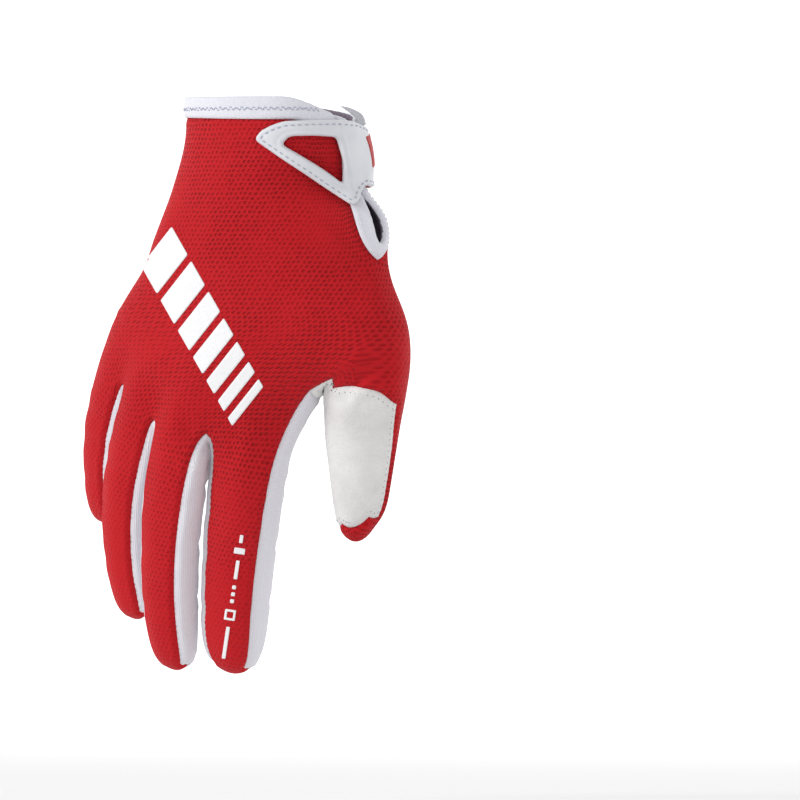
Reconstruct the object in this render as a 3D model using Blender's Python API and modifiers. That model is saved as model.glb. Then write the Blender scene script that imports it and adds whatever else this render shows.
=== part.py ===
"""Right-hand motocross glove in its worn form, fingers down, built from sewn panels.

The frame is +Z up out of the cuff, +X toward the thumb, -Y the back of the hand and +Y the palm.
The origin is the centre of the cuff opening. Every panel is cut from one soft form: a cage of
named points, smoothed by a Subdivision Surface, whose faces each belong to one panel. A panel is
the form's faces with the wall laid inward and its edges drawn back from the seam by half a gap.
"""

import math
from collections import namedtuple

import bmesh
import bpy
from mathutils import Matrix, Vector
from mathutils.bvhtree import BVHTree

# Cuff and hand, in metres
CUFF_WIDTH = 0.0654
CUFF_DEPTH = 0.045
CUFF_BAND = 0.007
CUFF_DIP = 0.004
HAND_LENGTH = 0.124
HAND_SPAN = 0.127
PALM_DEPTH = 0.031
PALM_PADDING = 0.0025
WEB_SLANT = 0.004
WEB_DROP = 0.003

# Fingers, from their roots to their tips along the centre line
INDEX_LENGTH = 0.0935
MIDDLE_LENGTH = 0.093
RING_LENGTH = 0.088
LITTLE_LENGTH = 0.067
FINGER_WIDTH = 0.0292
FINGER_DEPTH = 0.0215

# Thumb, from the crotch beside the index finger to its tip
THUMB_LENGTH = 0.0555
THUMB_WIDTH = 0.0282
THUMB_DEPTH = 0.025
THUMB_CROTCH = 0.1085

# Keyhole slit on the thumb side of the wrist
SLIT_LENGTH = 0.0565
SLIT_WIDTH = 0.0046
SLIT_TURN = 12.0
SLIT_EDGING = 0.0052

# Walls, seams and the strap
LEATHER_WALL = 0.0013
KNIT_WALL = 0.0014
STRETCH_WALL = 0.0012
BINDING_WALL = 0.0026
BINDING_RISE = 0.0006
SEAM_GAP = 0.0004
INNER_SEAM_GAP = 0.0014
STRAP_WALL = 0.002
STRAP_TOP = 0.008
STRAP_HEIGHT = 0.032
PATCH_WALL = 0.001
SEAT_CLEARANCE = 0.0006
VENT_DIAMETER = 0.0016
VENT_SIDES = 8

# Faces that meet at more than this angle, in degrees, keep a sharp edge between them
SHARP_ANGLE = 50

# The cage stands out beyond the hand here, where its columns lie far apart
THUMB_SIDE_SWELL = 0.002

# A smoothed ring of 8 points is narrower than its cage by these shares
RING_WIDTH_KEPT = 0.94
RING_DEPTH_KEPT = 0.87
THUMB_RING_KEPT = 0.93
FINGER_TIP_KEPT = 0.444
THUMB_TIP_KEPT = 0.5

Panel = namedtuple("Panel", "name wall rise colour roughness")
PANELS = (
    Panel("back_panel", KNIT_WALL, 0.0, (0.55, 0.018, 0.025), 0.8),
    Panel("palm_panel", LEATHER_WALL, 0.0, (0.77, 0.76, 0.74), 0.55),
    Panel("thumb_pad", LEATHER_WALL, 0.0, (0.72, 0.71, 0.69), 0.55),
    Panel("fourchette_middle_index", STRETCH_WALL, 0.0, (0.6, 0.58, 0.64), 0.75),
    Panel("fourchette_ring_middle", STRETCH_WALL, 0.0, (0.6, 0.58, 0.64), 0.75),
    Panel("fourchette_little_ring", STRETCH_WALL, 0.0, (0.6, 0.58, 0.64), 0.75),
    Panel("sidewall_index", STRETCH_WALL, 0.0, (0.6, 0.58, 0.64), 0.75),
    Panel("sidewall_little", STRETCH_WALL, 0.0, (0.6, 0.58, 0.64), 0.75),
    Panel("cuff_binding", BINDING_WALL, BINDING_RISE, (0.74, 0.72, 0.79), 0.7),
    Panel("slit_binding", BINDING_WALL, BINDING_RISE, (0.74, 0.72, 0.79), 0.7),
)
STRAP_COLOUR = (0.75, 0.76, 0.78)
PATCH_COLOUR = (0.62, 0.42, 0.44)

# The palm's columns run round the hand from the slit over the back to the little finger's side,
# and back over the palm. Odd columns of the back and the palm are a finger's middle.
BACK_COLUMNS = 8
LITTLE_SIDE = 9
PALM_FIRST = 10
INDEX_PALM = 18
THUMB_SIDE = 19
COLUMNS = 20

# Each finger's own columns, in the order of RING
RING = ("back", "back_thumbward", "thumbward", "palm_thumbward", "palm", "palm_away", "away", "back_away")

Finger = namedtuple(
    "Finger", "name length girth across palmward along lean curl roll seam seam_shift columns walls vents")
# across, palmward and along place the root as shares of HAND_SPAN, PALM_DEPTH and HAND_LENGTH.
# lean and curl are the angles at the root and the tip. seam is the root's own seam angle, and
# seam_shift moves the seam of the other rings. vents are shares of the length.
FINGERS = (
    Finger("index", INDEX_LENGTH, 1.0, -0.043, -0.065, 1.0, (-9.8, -9.8), (3, 16), 0, 86, 0,
           (1, 0, 19, 18, 17, 16, "web_1", 2),
           ("sidewall_index", "fourchette_middle_index"), (0.41, 0.565, 0.74)),
    Finger("middle", MIDDLE_LENGTH, 0.91, -0.255, -0.16, 1.0, (-15, 0), (4, 20), 23, 66, 0,
           (3, 2, "web_1", 16, 15, 14, "web_2", 4),
           ("fourchette_middle_index", "fourchette_ring_middle"), (0.28, 0.45, 0.62)),
    Finger("ring", RING_LENGTH, 0.85, -0.392, 0.032, 0.911, (-29, 8), (17, 15), 28, 64, 0,
           (5, 4, "web_2", 14, 13, 12, "web_3", 6),
           ("fourchette_ring_middle", "fourchette_little_ring"), (0.33, 0.5, 0.66)),
    Finger("little", LITTLE_LENGTH, 0.78, -0.5, 0.29, 0.806, (-33, 0), (24, 20), 36, 58, -8,
           (7, 6, "web_3", 12, 11, 10, 9, 8),
           ("fourchette_little_ring", "sidewall_little"), (0.36, 0.56, 0.74)),
)
PalmVent = namedtuple("PalmVent", "across along")
# Shares of HAND_SPAN and HAND_LENGTH
PALM_VENTS = (
    PalmVent(-0.143, 0.654),
    PalmVent(-0.049, 0.74),
    PalmVent(0.045, 0.83),
)

FingerSection = namedtuple("FingerSection", "along width depth seam")
# Shares of the finger's length and girth, and the seam's angle from the middle of the back
FINGER_SECTIONS = (
    FingerSection(0.0, 1.06, 1.08, None),
    FingerSection(0.14, 1.02, 1.03, 64),
    FingerSection(0.34, 1.0, 1.0, 56),
    FingerSection(0.55, 0.96, 0.96, 51),
    FingerSection(0.75, 0.9, 0.9, 50),
    FingerSection(0.90, 0.81, 0.8, 50),
)
PAD_HALF_ANGLE = 56.0
TIP_PALMWARD = 0.1

BodySection = namedtuple("BodySection", "along centre widening thinning")
# Ellipses of the hand: shares of HAND_LENGTH and HAND_SPAN, and how far the width has gone from
# CUFF_WIDTH to HAND_SPAN and the depth from CUFF_DEPTH to PALM_DEPTH
BODY_SECTIONS = (
    BodySection(0.0, 0.0, 0.0, 0.0),
    BodySection(0.073, 0.009, 0.042, 0.01),
    BodySection(0.145, 0.0165, 0.1, 0.02),
    BodySection(0.242, 0.0205, 0.234, 0.06),
    BodySection(0.339, 0.019, 0.393, 0.14),
    BodySection(0.403, 0.0126, 0.494, 0.2),
    BodySection(0.484, 0.002, 0.53, 0.29),
    BodySection(0.565, 0.007, 0.69, 0.43),
    BodySection(0.669, 0.03, 0.855, 0.57),
    BodySection(0.774, -0.009, 0.98, 0.71),
    BodySection(0.879, -0.061, 1.0, 0.86),
    BodySection(1.0, -0.075, 1.0, 1.0),
)

PalmRow = namedtuple("PalmRow", "along knuckle")
# How far down the hand each row lies, and how far its shape has gone over to the knuckles
PALM_ROWS = (
    PalmRow(0.0, 0.0),
    PalmRow(CUFF_BAND / HAND_LENGTH, 0.0),
    PalmRow(0.194, 0.0),
    PalmRow(0.339, 0.0),
    PalmRow(0.508, 0.0),
    PalmRow(0.585, 0.04),
    PalmRow(0.675, 0.08),
    PalmRow(0.774, 0.27),
    PalmRow(0.879, 0.72),
)
SLIT_TIP_ROW = 4
THUMB_TOP_ROW = 5
THUMB_CROTCH_ROW = 8
LAST_ROW = len(PALM_ROWS)

RimPoint = namedtuple("RimPoint", "row column across palmward along")
# Rim of the thumb's root, round from the back of the top: shares of HAND_SPAN, PALM_DEPTH and
# THUMB_CROTCH
THUMB_RIM = (
    RimPoint(5, 0, 0.41, -0.19, 0.66),
    RimPoint(6, 0, 0.362, -0.39, 0.765),
    RimPoint(7, 0, 0.268, -0.42, 0.885),
    RimPoint(8, 0, 0.168, -0.24, 0.995),
    RimPoint(8, 19, 0.18, 0.1, 1.008),
    RimPoint(8, 18, 0.15, 0.43, 0.985),
    RimPoint(7, 18, 0.197, 0.58, 0.903),
    RimPoint(6, 18, 0.22, 0.64, 0.82),
    RimPoint(5, 18, 0.236, 0.65, 0.737),
    RimPoint(5, 19, 0.4, 0.27, 0.66),
)
# Angles of a thumb ring's points, from the outer side over the back to the inner side
THUMB_ANGLES = (8, 45, 82, 120, 158, 192, 222, 255, 288, 328)
THUMB_SEAM = 8

ThumbSection = namedtuple("ThumbSection", "across palmward along half_width tilt half_depth back_rise")
# Shares of HAND_SPAN, PALM_DEPTH, THUMB_LENGTH (from the crotch), THUMB_WIDTH and THUMB_DEPTH,
# the rise of the outer side in degrees, and how far the back of the ring is raised, as a share of
# THUMB_WIDTH
THUMB_SECTIONS = (
    ThumbSection(0.314, 0.15, -0.17, 0.72, 30, 0.62, 0.0),
    ThumbSection(0.29, 0.22, 0.05, 0.56, -2, 0.57, 0.13),
    ThumbSection(0.273, 0.29, 0.26, 0.515, 0, 0.5, 0.0),
    ThumbSection(0.261, 0.36, 0.46, 0.45, 0, 0.455, 0.0),
    ThumbSection(0.252, 0.42, 0.67, 0.395, 0, 0.41, 0.0),
    ThumbSection(0.244, 0.47, 0.845, 0.33, 0, 0.34, -0.09),
)
THUMB_TIP_ACROSS = 0.243
THUMB_TIP_PALMWARD = 0.42

StrapSection = namedtuple("StrapSection", "turn top window_top window_bottom bottom open")
# Turn round the wrist in degrees from the thumb side to the back, depths as shares of
# STRAP_HEIGHT, and whether the window is open up to the next section
STRAP_SECTIONS = (
    StrapSection(84, 0.23, 0.25, 0.27, 0.29, False),
    StrapSection(80, 0.16, 0.24, 0.31, 0.37, False),
    StrapSection(68, 0.065, 0.25, 0.33, 0.48, True),
    StrapSection(56, 0.045, 0.24, 0.47, 0.65, True),
    StrapSection(45, 0.035, 0.235, 0.6, 0.8, True),
    StrapSection(36, 0.03, 0.23, 0.7, 0.93, True),
    StrapSection(28, 0.025, 0.23, 0.68, 1.0, False),
    StrapSection(19, 0.015, 0.3, 0.68, 1.0, False),
    StrapSection(6, 0.0, 0.33, 0.66, 0.985, False),
    StrapSection(-9, 0.0, 0.32, 0.64, 0.955, False),
    StrapSection(-24, 0.0, 0.31, 0.62, 0.925, False),
    StrapSection(-39, 0.01, 0.3, 0.6, 0.895, False),
    StrapSection(-53, 0.02, 0.3, 0.58, 0.865, False),
    StrapSection(-64, 0.03, 0.3, 0.57, 0.835, False),
    StrapSection(-73, 0.035, 0.3, 0.55, 0.79, False),
    StrapSection(-83, 0.04, 0.17, 0.3, 0.42, False),
    StrapSection(-92, 0.05, 0.08, 0.11, 0.14, False),
)
PatchSection = namedtuple("PatchSection", "turn top bottom")
PATCH_SECTIONS = (
    PatchSection(-53, 0.07, 0.8),
    PatchSection(-64, 0.07, 0.8),
    PatchSection(-73, 0.07, 0.79),
    PatchSection(-83, 0.07, 0.74),
    PatchSection(-92, 0.07, 0.42),
    PatchSection(-102, 0.09, 0.15),
)


def lerp(a, b, share):
    return a + (b - a) * share


def read_section(sections, along):
    """A row of a section table at any place along it, eased between its rows."""
    last = len(sections) - 1
    step = 0
    while step < last - 1 and along > sections[step + 1].along:
        step += 1
    low, high = sections[step], sections[step + 1]
    share = (along - low.along) / (high.along - low.along)
    before = sections[max(step - 1, 0)]
    after = sections[min(step + 2, last)]
    values = []
    for p0, p1, p2, p3 in zip(before, low, high, after):
        curve = 2 * p1 + (p2 - p0) * share
        curve += (2 * p0 - 5 * p1 + 4 * p2 - p3) * share**2
        curve += (3 * p1 - p0 - 3 * p2 + p3) * share**3
        values.append(curve / 2)
    return type(low)(*values)


def body_point(turn, depth, lift=0.0):
    """A point on the hand's ellipse, depth below the cuff, and the ellipse's outward normal there."""
    section = read_section(BODY_SECTIONS, depth / HAND_LENGTH)
    half_width = lerp(CUFF_WIDTH, HAND_SPAN, section.widening) / 2
    half_depth = lerp(CUFF_DEPTH, PALM_DEPTH, section.thinning) / 2
    angle = math.radians(turn)
    normal = Vector((math.cos(angle) / half_width, -math.sin(angle) / half_depth, 0)).normalized()
    x = section.centre * HAND_SPAN + half_width * math.cos(angle)
    y = -half_depth * math.sin(angle)
    return Vector((x, y, -depth)) + normal * lift, normal


def column_turn(column):
    """Where a column starts at the wrist, in degrees from the thumb side over the back."""
    first_back, last_back = 52, 155
    first_palm, last_palm = 205, 287
    if column == 0:
        return SLIT_TURN
    if column <= BACK_COLUMNS:
        return lerp(first_back, last_back, (column - 1) / (BACK_COLUMNS - 1))
    if column == LITTLE_SIDE:
        return 180
    if column <= INDEX_PALM:
        return lerp(first_palm, last_palm, (column - PALM_FIRST) / (INDEX_PALM - PALM_FIRST))
    return 336


class FingerForm:
    """The centre line and the rings of one finger."""

    STEPS = 40

    def __init__(self, finger):
        self.finger = finger
        root = Vector((finger.across * HAND_SPAN, finger.palmward * PALM_DEPTH, -finger.along * HAND_LENGTH))
        self.line = [root]
        for step in range(self.STEPS):
            heading = self.heading((step + 0.5) / self.STEPS)
            self.line.append(self.line[-1] + heading * finger.length / self.STEPS)

    def heading(self, along):
        lean = math.radians(lerp(*self.finger.lean, along))
        curl = math.radians(lerp(*self.finger.curl, along))
        return Vector((math.tan(lean), math.tan(curl), -1)).normalized()

    def centre(self, along):
        place = along * self.STEPS
        step = min(int(place), self.STEPS - 1)
        return self.line[step].lerp(self.line[step + 1], place - step)

    def axes(self, along):
        """Directions toward the thumb, toward the back of the hand and down the finger."""
        heading = self.heading(along)
        roll = math.radians(self.finger.roll)
        side = Vector((math.cos(roll), -math.sin(roll), 0))
        side = (side - heading * side.dot(heading)).normalized()
        back = side.cross(heading).normalized()
        if back.y > 0:
            back.negate()
        return side, back, heading

    def point(self, section, angle):
        """A point of the cage at an angle from the middle of the back toward the thumb."""
        side, back, heading = self.axes(section.along)
        turn = math.radians(angle)
        half_width = FINGER_WIDTH * self.finger.girth * section.width / 2 / RING_WIDTH_KEPT
        half_depth = FINGER_DEPTH * self.finger.girth * section.depth / 2 / RING_DEPTH_KEPT
        place = self.centre(section.along) + side * half_width * math.sin(turn)
        place += back * half_depth * math.cos(turn)
        slant = WEB_SLANT * max(0.0, 1 - section.along / FINGER_SECTIONS[2].along)
        return place - heading * slant * math.cos(turn)

    def ring(self, section):
        seam = self.finger.seam if section.seam is None else section.seam + self.finger.seam_shift
        pad = 180 - PAD_HALF_ANGLE
        angles = (0, seam, (seam + pad) / 2, pad, 180, 360 - pad, 360 - (seam + pad) / 2, 360 - seam)
        if section.seam is None:
            angles = angles[:7] + (360 - FINGER_SECTIONS[1].seam - self.finger.seam_shift,)
        return [self.point(section, angle) for angle in angles]

    def tip(self):
        last = FINGER_SECTIONS[-1].along
        reach = (1 - last) / FINGER_TIP_KEPT * self.finger.length
        side, back, heading = self.axes(1.0)
        return self.centre(last) + heading * reach - back * FINGER_DEPTH * TIP_PALMWARD


class Cage:
    """Named points, and faces that each belong to a panel."""

    def __init__(self):
        self.points = {}
        self.faces = []

    def add_face(self, panel, *names):
        self.faces.append((panel, names))

    def to_mesh(self, name):
        mesh = bpy.data.meshes.new(name)
        order = {key: number for number, key in enumerate(self.points)}
        panel_numbers = {panel.name: number for number, panel in enumerate(PANELS)}
        polygons = [[order[key] for key in keys] for _, keys in self.faces]
        mesh.from_pydata(list(self.points.values()), [], polygons)
        for panel in PANELS:
            mesh.materials.append(new_material(panel.name, panel.colour, panel.roughness))
        for polygon, (panel, _) in zip(mesh.polygons, self.faces):
            polygon.material_index = panel_numbers[panel]
        return mesh


def add_fingers(cage):
    """Finger tubes, which share their web points with the neighbouring finger."""
    shared = {}
    for finger in FINGERS:
        form = FingerForm(finger)
        for column, place in zip(finger.columns, form.ring(FINGER_SECTIONS[0])):
            shared.setdefault(column, []).append(place)
        for number, section in enumerate(FINGER_SECTIONS[1:], 1):
            for slot, place in zip(RING, form.ring(section)):
                cage.points[finger.name, number, slot] = place
        cage.points[finger.name, "tip"] = form.tip()
        add_finger_faces(cage, finger)
    for column, places in shared.items():
        middle = sum(places, Vector()) / len(places)
        if len(places) == 2:
            middle.z -= WEB_DROP
        cage.points["hand", LAST_ROW, column] = middle


def add_finger_faces(cage, finger):
    thumbward_wall, away_wall = finger.walls
    panels = ("back_panel", thumbward_wall, thumbward_wall, "palm_panel",
              "palm_panel", away_wall, away_wall, "back_panel")

    def name(number, slot):
        if number == 0:
            return "hand", LAST_ROW, finger.columns[slot]
        return finger.name, number, RING[slot]

    count = len(RING)
    for number in range(len(FINGER_SECTIONS) - 1):
        for slot, panel in enumerate(panels):
            after = (slot + 1) % count
            cage.add_face(panel, name(number, slot), name(number, after),
                          name(number + 1, after), name(number + 1, slot))
    last = len(FINGER_SECTIONS) - 1
    tip = (finger.name, "tip")
    caps = (("back_panel", 0), (thumbward_wall, 2), (away_wall, 4), ("back_panel", 6))
    for panel, slot in caps:
        cage.add_face(panel, name(last, slot), name(last, slot + 1), name(last, (slot + 2) % count), tip)


def knuckle_loop(cage):
    """The hand's outline at the knuckles, smooth across the webs."""
    loop = {}
    for finger in FINGERS:
        form = FingerForm(finger)
        ring = form.ring(FINGER_SECTIONS[0])
        loop[finger.columns[0]] = ring[0]
        loop[finger.columns[4]] = ring[4] + Vector((0, PALM_PADDING, 0))
        if finger.name == "little":
            for slot in (5, 6, 7):
                loop[finger.columns[slot]] = ring[slot]
    for column in (2, 4, 6, 12, 14, 16):
        loop[column] = (loop[column - 1] + loop[column + 1]) / 2
    return loop


def add_hand(cage):
    """Rows of the hand from the cuff to the finger roots."""
    knuckles = knuckle_loop(cage)
    rim = {(point.row, point.column): point for point in THUMB_RIM}
    for row, palm_row in enumerate(PALM_ROWS):
        for column in range(COLUMNS):
            if (row, column) in rim:
                point = rim[row, column]
                place = (point.across * HAND_SPAN, point.palmward * PALM_DEPTH, -point.along * THUMB_CROTCH)
                cage.points["hand", row, column] = Vector(place)
                continue
            if column in (0, THUMB_SIDE) and THUMB_TOP_ROW < row < THUMB_CROTCH_ROW:
                continue
            if column == 0 and row < SLIT_TIP_ROW:
                continue
            root = knuckles.get(column, Vector((0, 0, -HAND_LENGTH)))
            depth = -root.z * palm_row.along if row > 1 else palm_row.along * HAND_LENGTH
            turn = column_turn(column)
            depth += cuff_dip(turn, row)
            swell = THUMB_SIDE_SWELL if column == THUMB_SIDE else 0.0
            place, _ = body_point(turn, depth, swell)
            place.x = lerp(place.x, root.x, palm_row.knuckle)
            place.y = lerp(place.y, root.y, palm_row.knuckle)
            cage.points["hand", row, column] = place
    add_slit_points(cage)
    add_hand_faces(cage)


def cuff_dip(turn, row):
    """The cuff edge sinks toward the slit."""
    reach = 30
    away = (turn - SLIT_TURN + 180) % 360 - 180
    fade = 1 - row / SLIT_TIP_ROW
    return CUFF_DIP * math.exp(-((away / reach) ** 2)) * max(fade, 0)


def add_slit_points(cage):
    """Both edges of the slit, and the outer edges of its binding."""
    flare = 1.35
    for row in range(SLIT_TIP_ROW):
        depth = PALM_ROWS[row].along * HAND_LENGTH + cuff_dip(SLIT_TURN, row)
        centre, normal = body_point(SLIT_TURN, depth)
        toward_back = Vector((normal.y, -normal.x, 0))
        half_opening = SLIT_WIDTH / 2 * lerp(flare, 1.0, row / (SLIT_TIP_ROW - 1))
        for side, sign in (("back", 1), ("palm", -1)):
            inner = centre + toward_back * half_opening * sign
            outer_turn = SLIT_TURN + sign * math.degrees((half_opening + SLIT_EDGING) / (CUFF_DEPTH / 2))
            cage.points["slit", row, side] = inner
            cage.points["edging", row, side] = body_point(outer_turn, depth)[0]
    cage.points["slit", SLIT_TIP_ROW, "end"] = body_point(SLIT_TURN, SLIT_LENGTH)[0]


def hand_name(row, column, side=None):
    """A hand point's name. The column of the slit has one point for each side of it."""
    if column == 0 and row < SLIT_TIP_ROW:
        return "edging", row, side
    return "hand", row, column


def hand_panel(row, column):
    """The panel of the face between a row and the next and between a column and the next."""
    if row == 0:
        return "cuff_binding"
    if column < LITTLE_SIDE:
        side_wall = row == LAST_ROW - 1 and column == BACK_COLUMNS
        return "sidewall_little" if side_wall else "back_panel"
    if column < INDEX_PALM:
        side_wall = row == LAST_ROW - 1 and column == LITTLE_SIDE
        return "sidewall_little" if side_wall else "palm_panel"
    return "sidewall_index" if row == LAST_ROW - 1 else "back_panel"


def add_hand_faces(cage):
    for row in range(LAST_ROW):
        for column in range(COLUMNS):
            if column >= INDEX_PALM and THUMB_TOP_ROW <= row < THUMB_CROTCH_ROW:
                continue
            after = (column + 1) % COLUMNS
            side = "back" if column == 0 else "palm"
            cage.add_face(hand_panel(row, column), hand_name(row, column, side),
                          hand_name(row + 1, column, side), hand_name(row + 1, after, side),
                          hand_name(row, after, side))
    for row in range(SLIT_TIP_ROW):
        end = row == SLIT_TIP_ROW - 1
        for side in ("back", "palm"):
            inner_next = ("slit", row + 1, "end" if end else side)
            outer_next = hand_name(row + 1, 0, side)
            quad = [("edging", row, side), ("slit", row, side), inner_next, outer_next]
            if side == "palm":
                quad.reverse()
            cage.add_face("slit_binding", *quad)


def add_thumb(cage):
    """The thumb's rings, from its rim on the hand to its tip."""
    for number, section in enumerate(THUMB_SECTIONS):
        tilt = math.radians(section.tilt)
        outward = Vector((math.cos(tilt), 0, math.sin(tilt)))
        centre = Vector((section.across * HAND_SPAN, section.palmward * PALM_DEPTH,
                         -THUMB_CROTCH - section.along * THUMB_LENGTH))
        half_width = section.half_width * THUMB_WIDTH / THUMB_RING_KEPT
        half_depth = section.half_depth * THUMB_DEPTH / THUMB_RING_KEPT
        for slot, angle in enumerate(THUMB_ANGLES):
            turn = math.radians(angle)
            place = centre + outward * half_width * math.cos(turn)
            place.y -= half_depth * math.sin(turn)
            place.z += section.back_rise * THUMB_WIDTH * max(math.sin(turn), 0)
            cage.points["thumb", number, slot] = place
    last = THUMB_SECTIONS[-1].along
    depth = THUMB_CROTCH + THUMB_LENGTH * (last + (1 - last) / THUMB_TIP_KEPT)
    tip = (THUMB_TIP_ACROSS * HAND_SPAN, THUMB_TIP_PALMWARD * PALM_DEPTH, -depth)
    cage.points["thumb", "tip"] = Vector(tip)
    add_thumb_faces(cage)


def thumb_panel(band, slot):
    """White leather lies on the inner side from the rim, and on the back from the second ring."""
    inner_side, pad_start = 4, 2
    white = slot < THUMB_SEAM and (slot >= inner_side or band >= pad_start)
    return "thumb_pad" if white else "back_panel"


def add_thumb_faces(cage):
    count = len(THUMB_ANGLES)

    def name(ring, slot):
        if ring < 0:
            point = THUMB_RIM[slot]
            return "hand", point.row, point.column
        return "thumb", ring, slot

    for band in range(len(THUMB_SECTIONS)):
        for slot in range(count):
            after = (slot + 1) % count
            cage.add_face(thumb_panel(band, slot), name(band - 1, slot), name(band, slot),
                          name(band, after), name(band - 1, after))
    last = len(THUMB_SECTIONS) - 1
    for slot in range(0, count, 2):
        palm_side = 4 <= slot < THUMB_SEAM
        cage.add_face("thumb_pad" if palm_side else "back_panel", name(last, slot), ("thumb", "tip"),
                      name(last, (slot + 2) % count), name(last, slot + 1))


def new_material(name, colour, roughness, metallic=0.0):
    material = bpy.data.materials.get(name) or bpy.data.materials.new(name)
    material.use_nodes = True
    shader = material.node_tree.nodes["Principled BSDF"]
    shader.inputs["Base Color"].default_value = (*colour, 1)
    shader.inputs["Roughness"].default_value = roughness
    shader.inputs["Metallic"].default_value = metallic
    return material


def build_form(guides):
    """The smoothed form that every panel is cut from, kept as a guide."""
    cage = Cage()
    add_fingers(cage)
    add_hand(cage)
    add_thumb(cage)
    form = bpy.data.objects.new("glove_form", cage.to_mesh("glove_form"))
    guides.objects.link(form)
    form.hide_render = True
    form.display_type = "WIRE"
    bm = bmesh.new()
    bm.from_mesh(form.data)
    bmesh.ops.recalc_face_normals(bm, faces=bm.faces)
    bm.to_mesh(form.data)
    bm.free()
    smooth = form.modifiers.new("Smooth form", "SUBSURF")
    smooth.levels = 1
    smooth.render_levels = 1
    bpy.context.view_layer.update()
    return form


def evaluated_form(form):
    """The form's smoothed faces with outward normals."""
    evaluated = form.evaluated_get(bpy.context.evaluated_depsgraph_get())
    bm = bmesh.new()
    bm.from_mesh(evaluated.to_mesh())
    evaluated.to_mesh_clear()
    bm.normal_update()
    return bm


def edge_inset(vert, faces):
    """How a vertex on a panel's edge moves for each metre that both its edges are drawn back."""
    inward = []
    for face in faces:
        for edge in face.edges:
            if vert not in edge.verts or sum(other in faces for other in edge.link_faces) != 1:
                continue
            if len(edge.link_faces) == 1:
                continue
            along = (edge.verts[1].co - edge.verts[0].co).normalized()
            across = face.normal.cross(along)
            if across.dot(face.calc_center_median() - edge.verts[0].co) < 0:
                across.negate()
            inward.append(across)
    if not inward:
        return Vector()
    middle = sum(inward, Vector()).normalized()
    longest_mitre = 2.5
    return middle / max(middle.dot(inward[0]), 1 / longest_mitre)


def panel_object(bm, number, panel, collection):
    """A closed solid from one panel's faces: the outer side, the wall laid inward, and the rim."""
    faces = [face for face in bm.faces if face.material_index == number]
    members = set(faces)
    outer_places, inner_places, indices = [], [], {}
    for face in faces:
        for vert in face.verts:
            if vert in indices:
                continue
            inset = edge_inset(vert, [other for other in vert.link_faces if other in members])
            place = vert.co + vert.normal * panel.rise
            indices[vert] = len(outer_places)
            outer_places.append(place + inset * SEAM_GAP / 2)
            inner_places.append(place + inset * INNER_SEAM_GAP / 2 - vert.normal * panel.wall)
    count = len(outer_places)
    polygons = []
    for face in faces:
        outer = [indices[vert] for vert in face.verts]
        polygons.append(outer)
        polygons.append([index + count for index in reversed(outer)])
        for loop in face.loops:
            if sum(other in members for other in loop.edge.link_faces) == 1:
                start, end = indices[loop.vert], indices[loop.link_loop_next.vert]
                polygons.append([end, start, start + count, end + count])
    places = outer_places + inner_places
    return mesh_object(panel.name, places, polygons, collection, panel.colour, panel.roughness)


def mesh_object(name, places, polygons, collection, colour, roughness):
    mesh = bpy.data.meshes.new(name)
    mesh.from_pydata(places, [], polygons)
    mesh.validate()
    mesh.materials.append(new_material(name, colour, roughness))
    mesh.shade_smooth()
    mesh.set_sharp_from_angle(angle=math.radians(SHARP_ANGLE))
    part = bpy.data.objects.new(name, mesh)
    collection.objects.link(part)
    return part


def seat_lift(trees, turn, depth):
    """How far the built surfaces rise above the hand's ellipse around one place."""
    far, deepest = 0.03, -0.006
    spread_turn, spread_depth = 4.0, 0.003
    highest = deepest
    for side in (-1, -0.5, 0, 0.5, 1):
        for level in (-1, -0.5, 0, 0.5, 1):
            place, normal = body_point(turn + side * spread_turn, depth + level * spread_depth)
            for tree in trees:
                hit = tree.ray_cast(place + normal * far, -normal)[0]
                if hit is not None:
                    highest = max(highest, (hit - place).dot(normal))
    return highest


def seated_band(name, sections, lines, wall, trees, collection, colour, roughness):
    """A band round the wrist that lies on what is below it, with a wall laid outward."""
    places = {}
    for number, (section, line) in enumerate(zip(sections, lines)):
        for level, share in enumerate(line):
            depth = STRAP_TOP + share * STRAP_HEIGHT
            lift = seat_lift(trees, section.turn, depth) + SEAT_CLEARANCE
            for side, height in (("inner", lift), ("outer", lift + wall)):
                places[number, level, side] = body_point(section.turn, depth, height)[0]
    order = {key: index for index, key in enumerate(places)}
    cells = set()
    for number in range(len(lines) - 1):
        for level in range(len(lines[0]) - 1):
            window = level == 1 and getattr(sections[number], "open", False)
            if not window:
                cells.add((number, level))
    polygons = []
    for number, level in sorted(cells):
        corners = [(number, level), (number, level + 1), (number + 1, level + 1), (number + 1, level)]
        beside = [(number - 1, level), (number, level + 1), (number + 1, level), (number, level - 1)]
        outer = [order[(*corner, "outer")] for corner in corners]
        inner = [order[(*corner, "inner")] for corner in corners]
        polygons.append(outer)
        polygons.append(inner[::-1])
        for step, cell in enumerate(beside):
            if cell not in cells:
                after = (step + 1) % 4
                polygons.append([outer[after], outer[step], inner[step], inner[after]])
    return mesh_object(name, list(places.values()), polygons, collection, colour, roughness)


def surface_tree(part):
    places = [vert.co for vert in part.data.vertices]
    return BVHTree.FromPolygons(places, [face.vertices for face in part.data.polygons])


def add_strap(collection, parts):
    """The landing patch on the palm side, and the strap over it."""
    trees = [surface_tree(part) for part in parts]
    lines = [(row.top, (row.top + row.bottom) / 2, row.bottom) for row in PATCH_SECTIONS]
    patch = seated_band("loop_patch", PATCH_SECTIONS, lines, PATCH_WALL, trees, collection,
                        PATCH_COLOUR, 0.9)
    trees.append(surface_tree(patch))
    lines = [row[1:5] for row in STRAP_SECTIONS]
    seated_band("wrist_strap", STRAP_SECTIONS, lines, STRAP_WALL, trees, collection, STRAP_COLOUR, 0.6)


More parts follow.
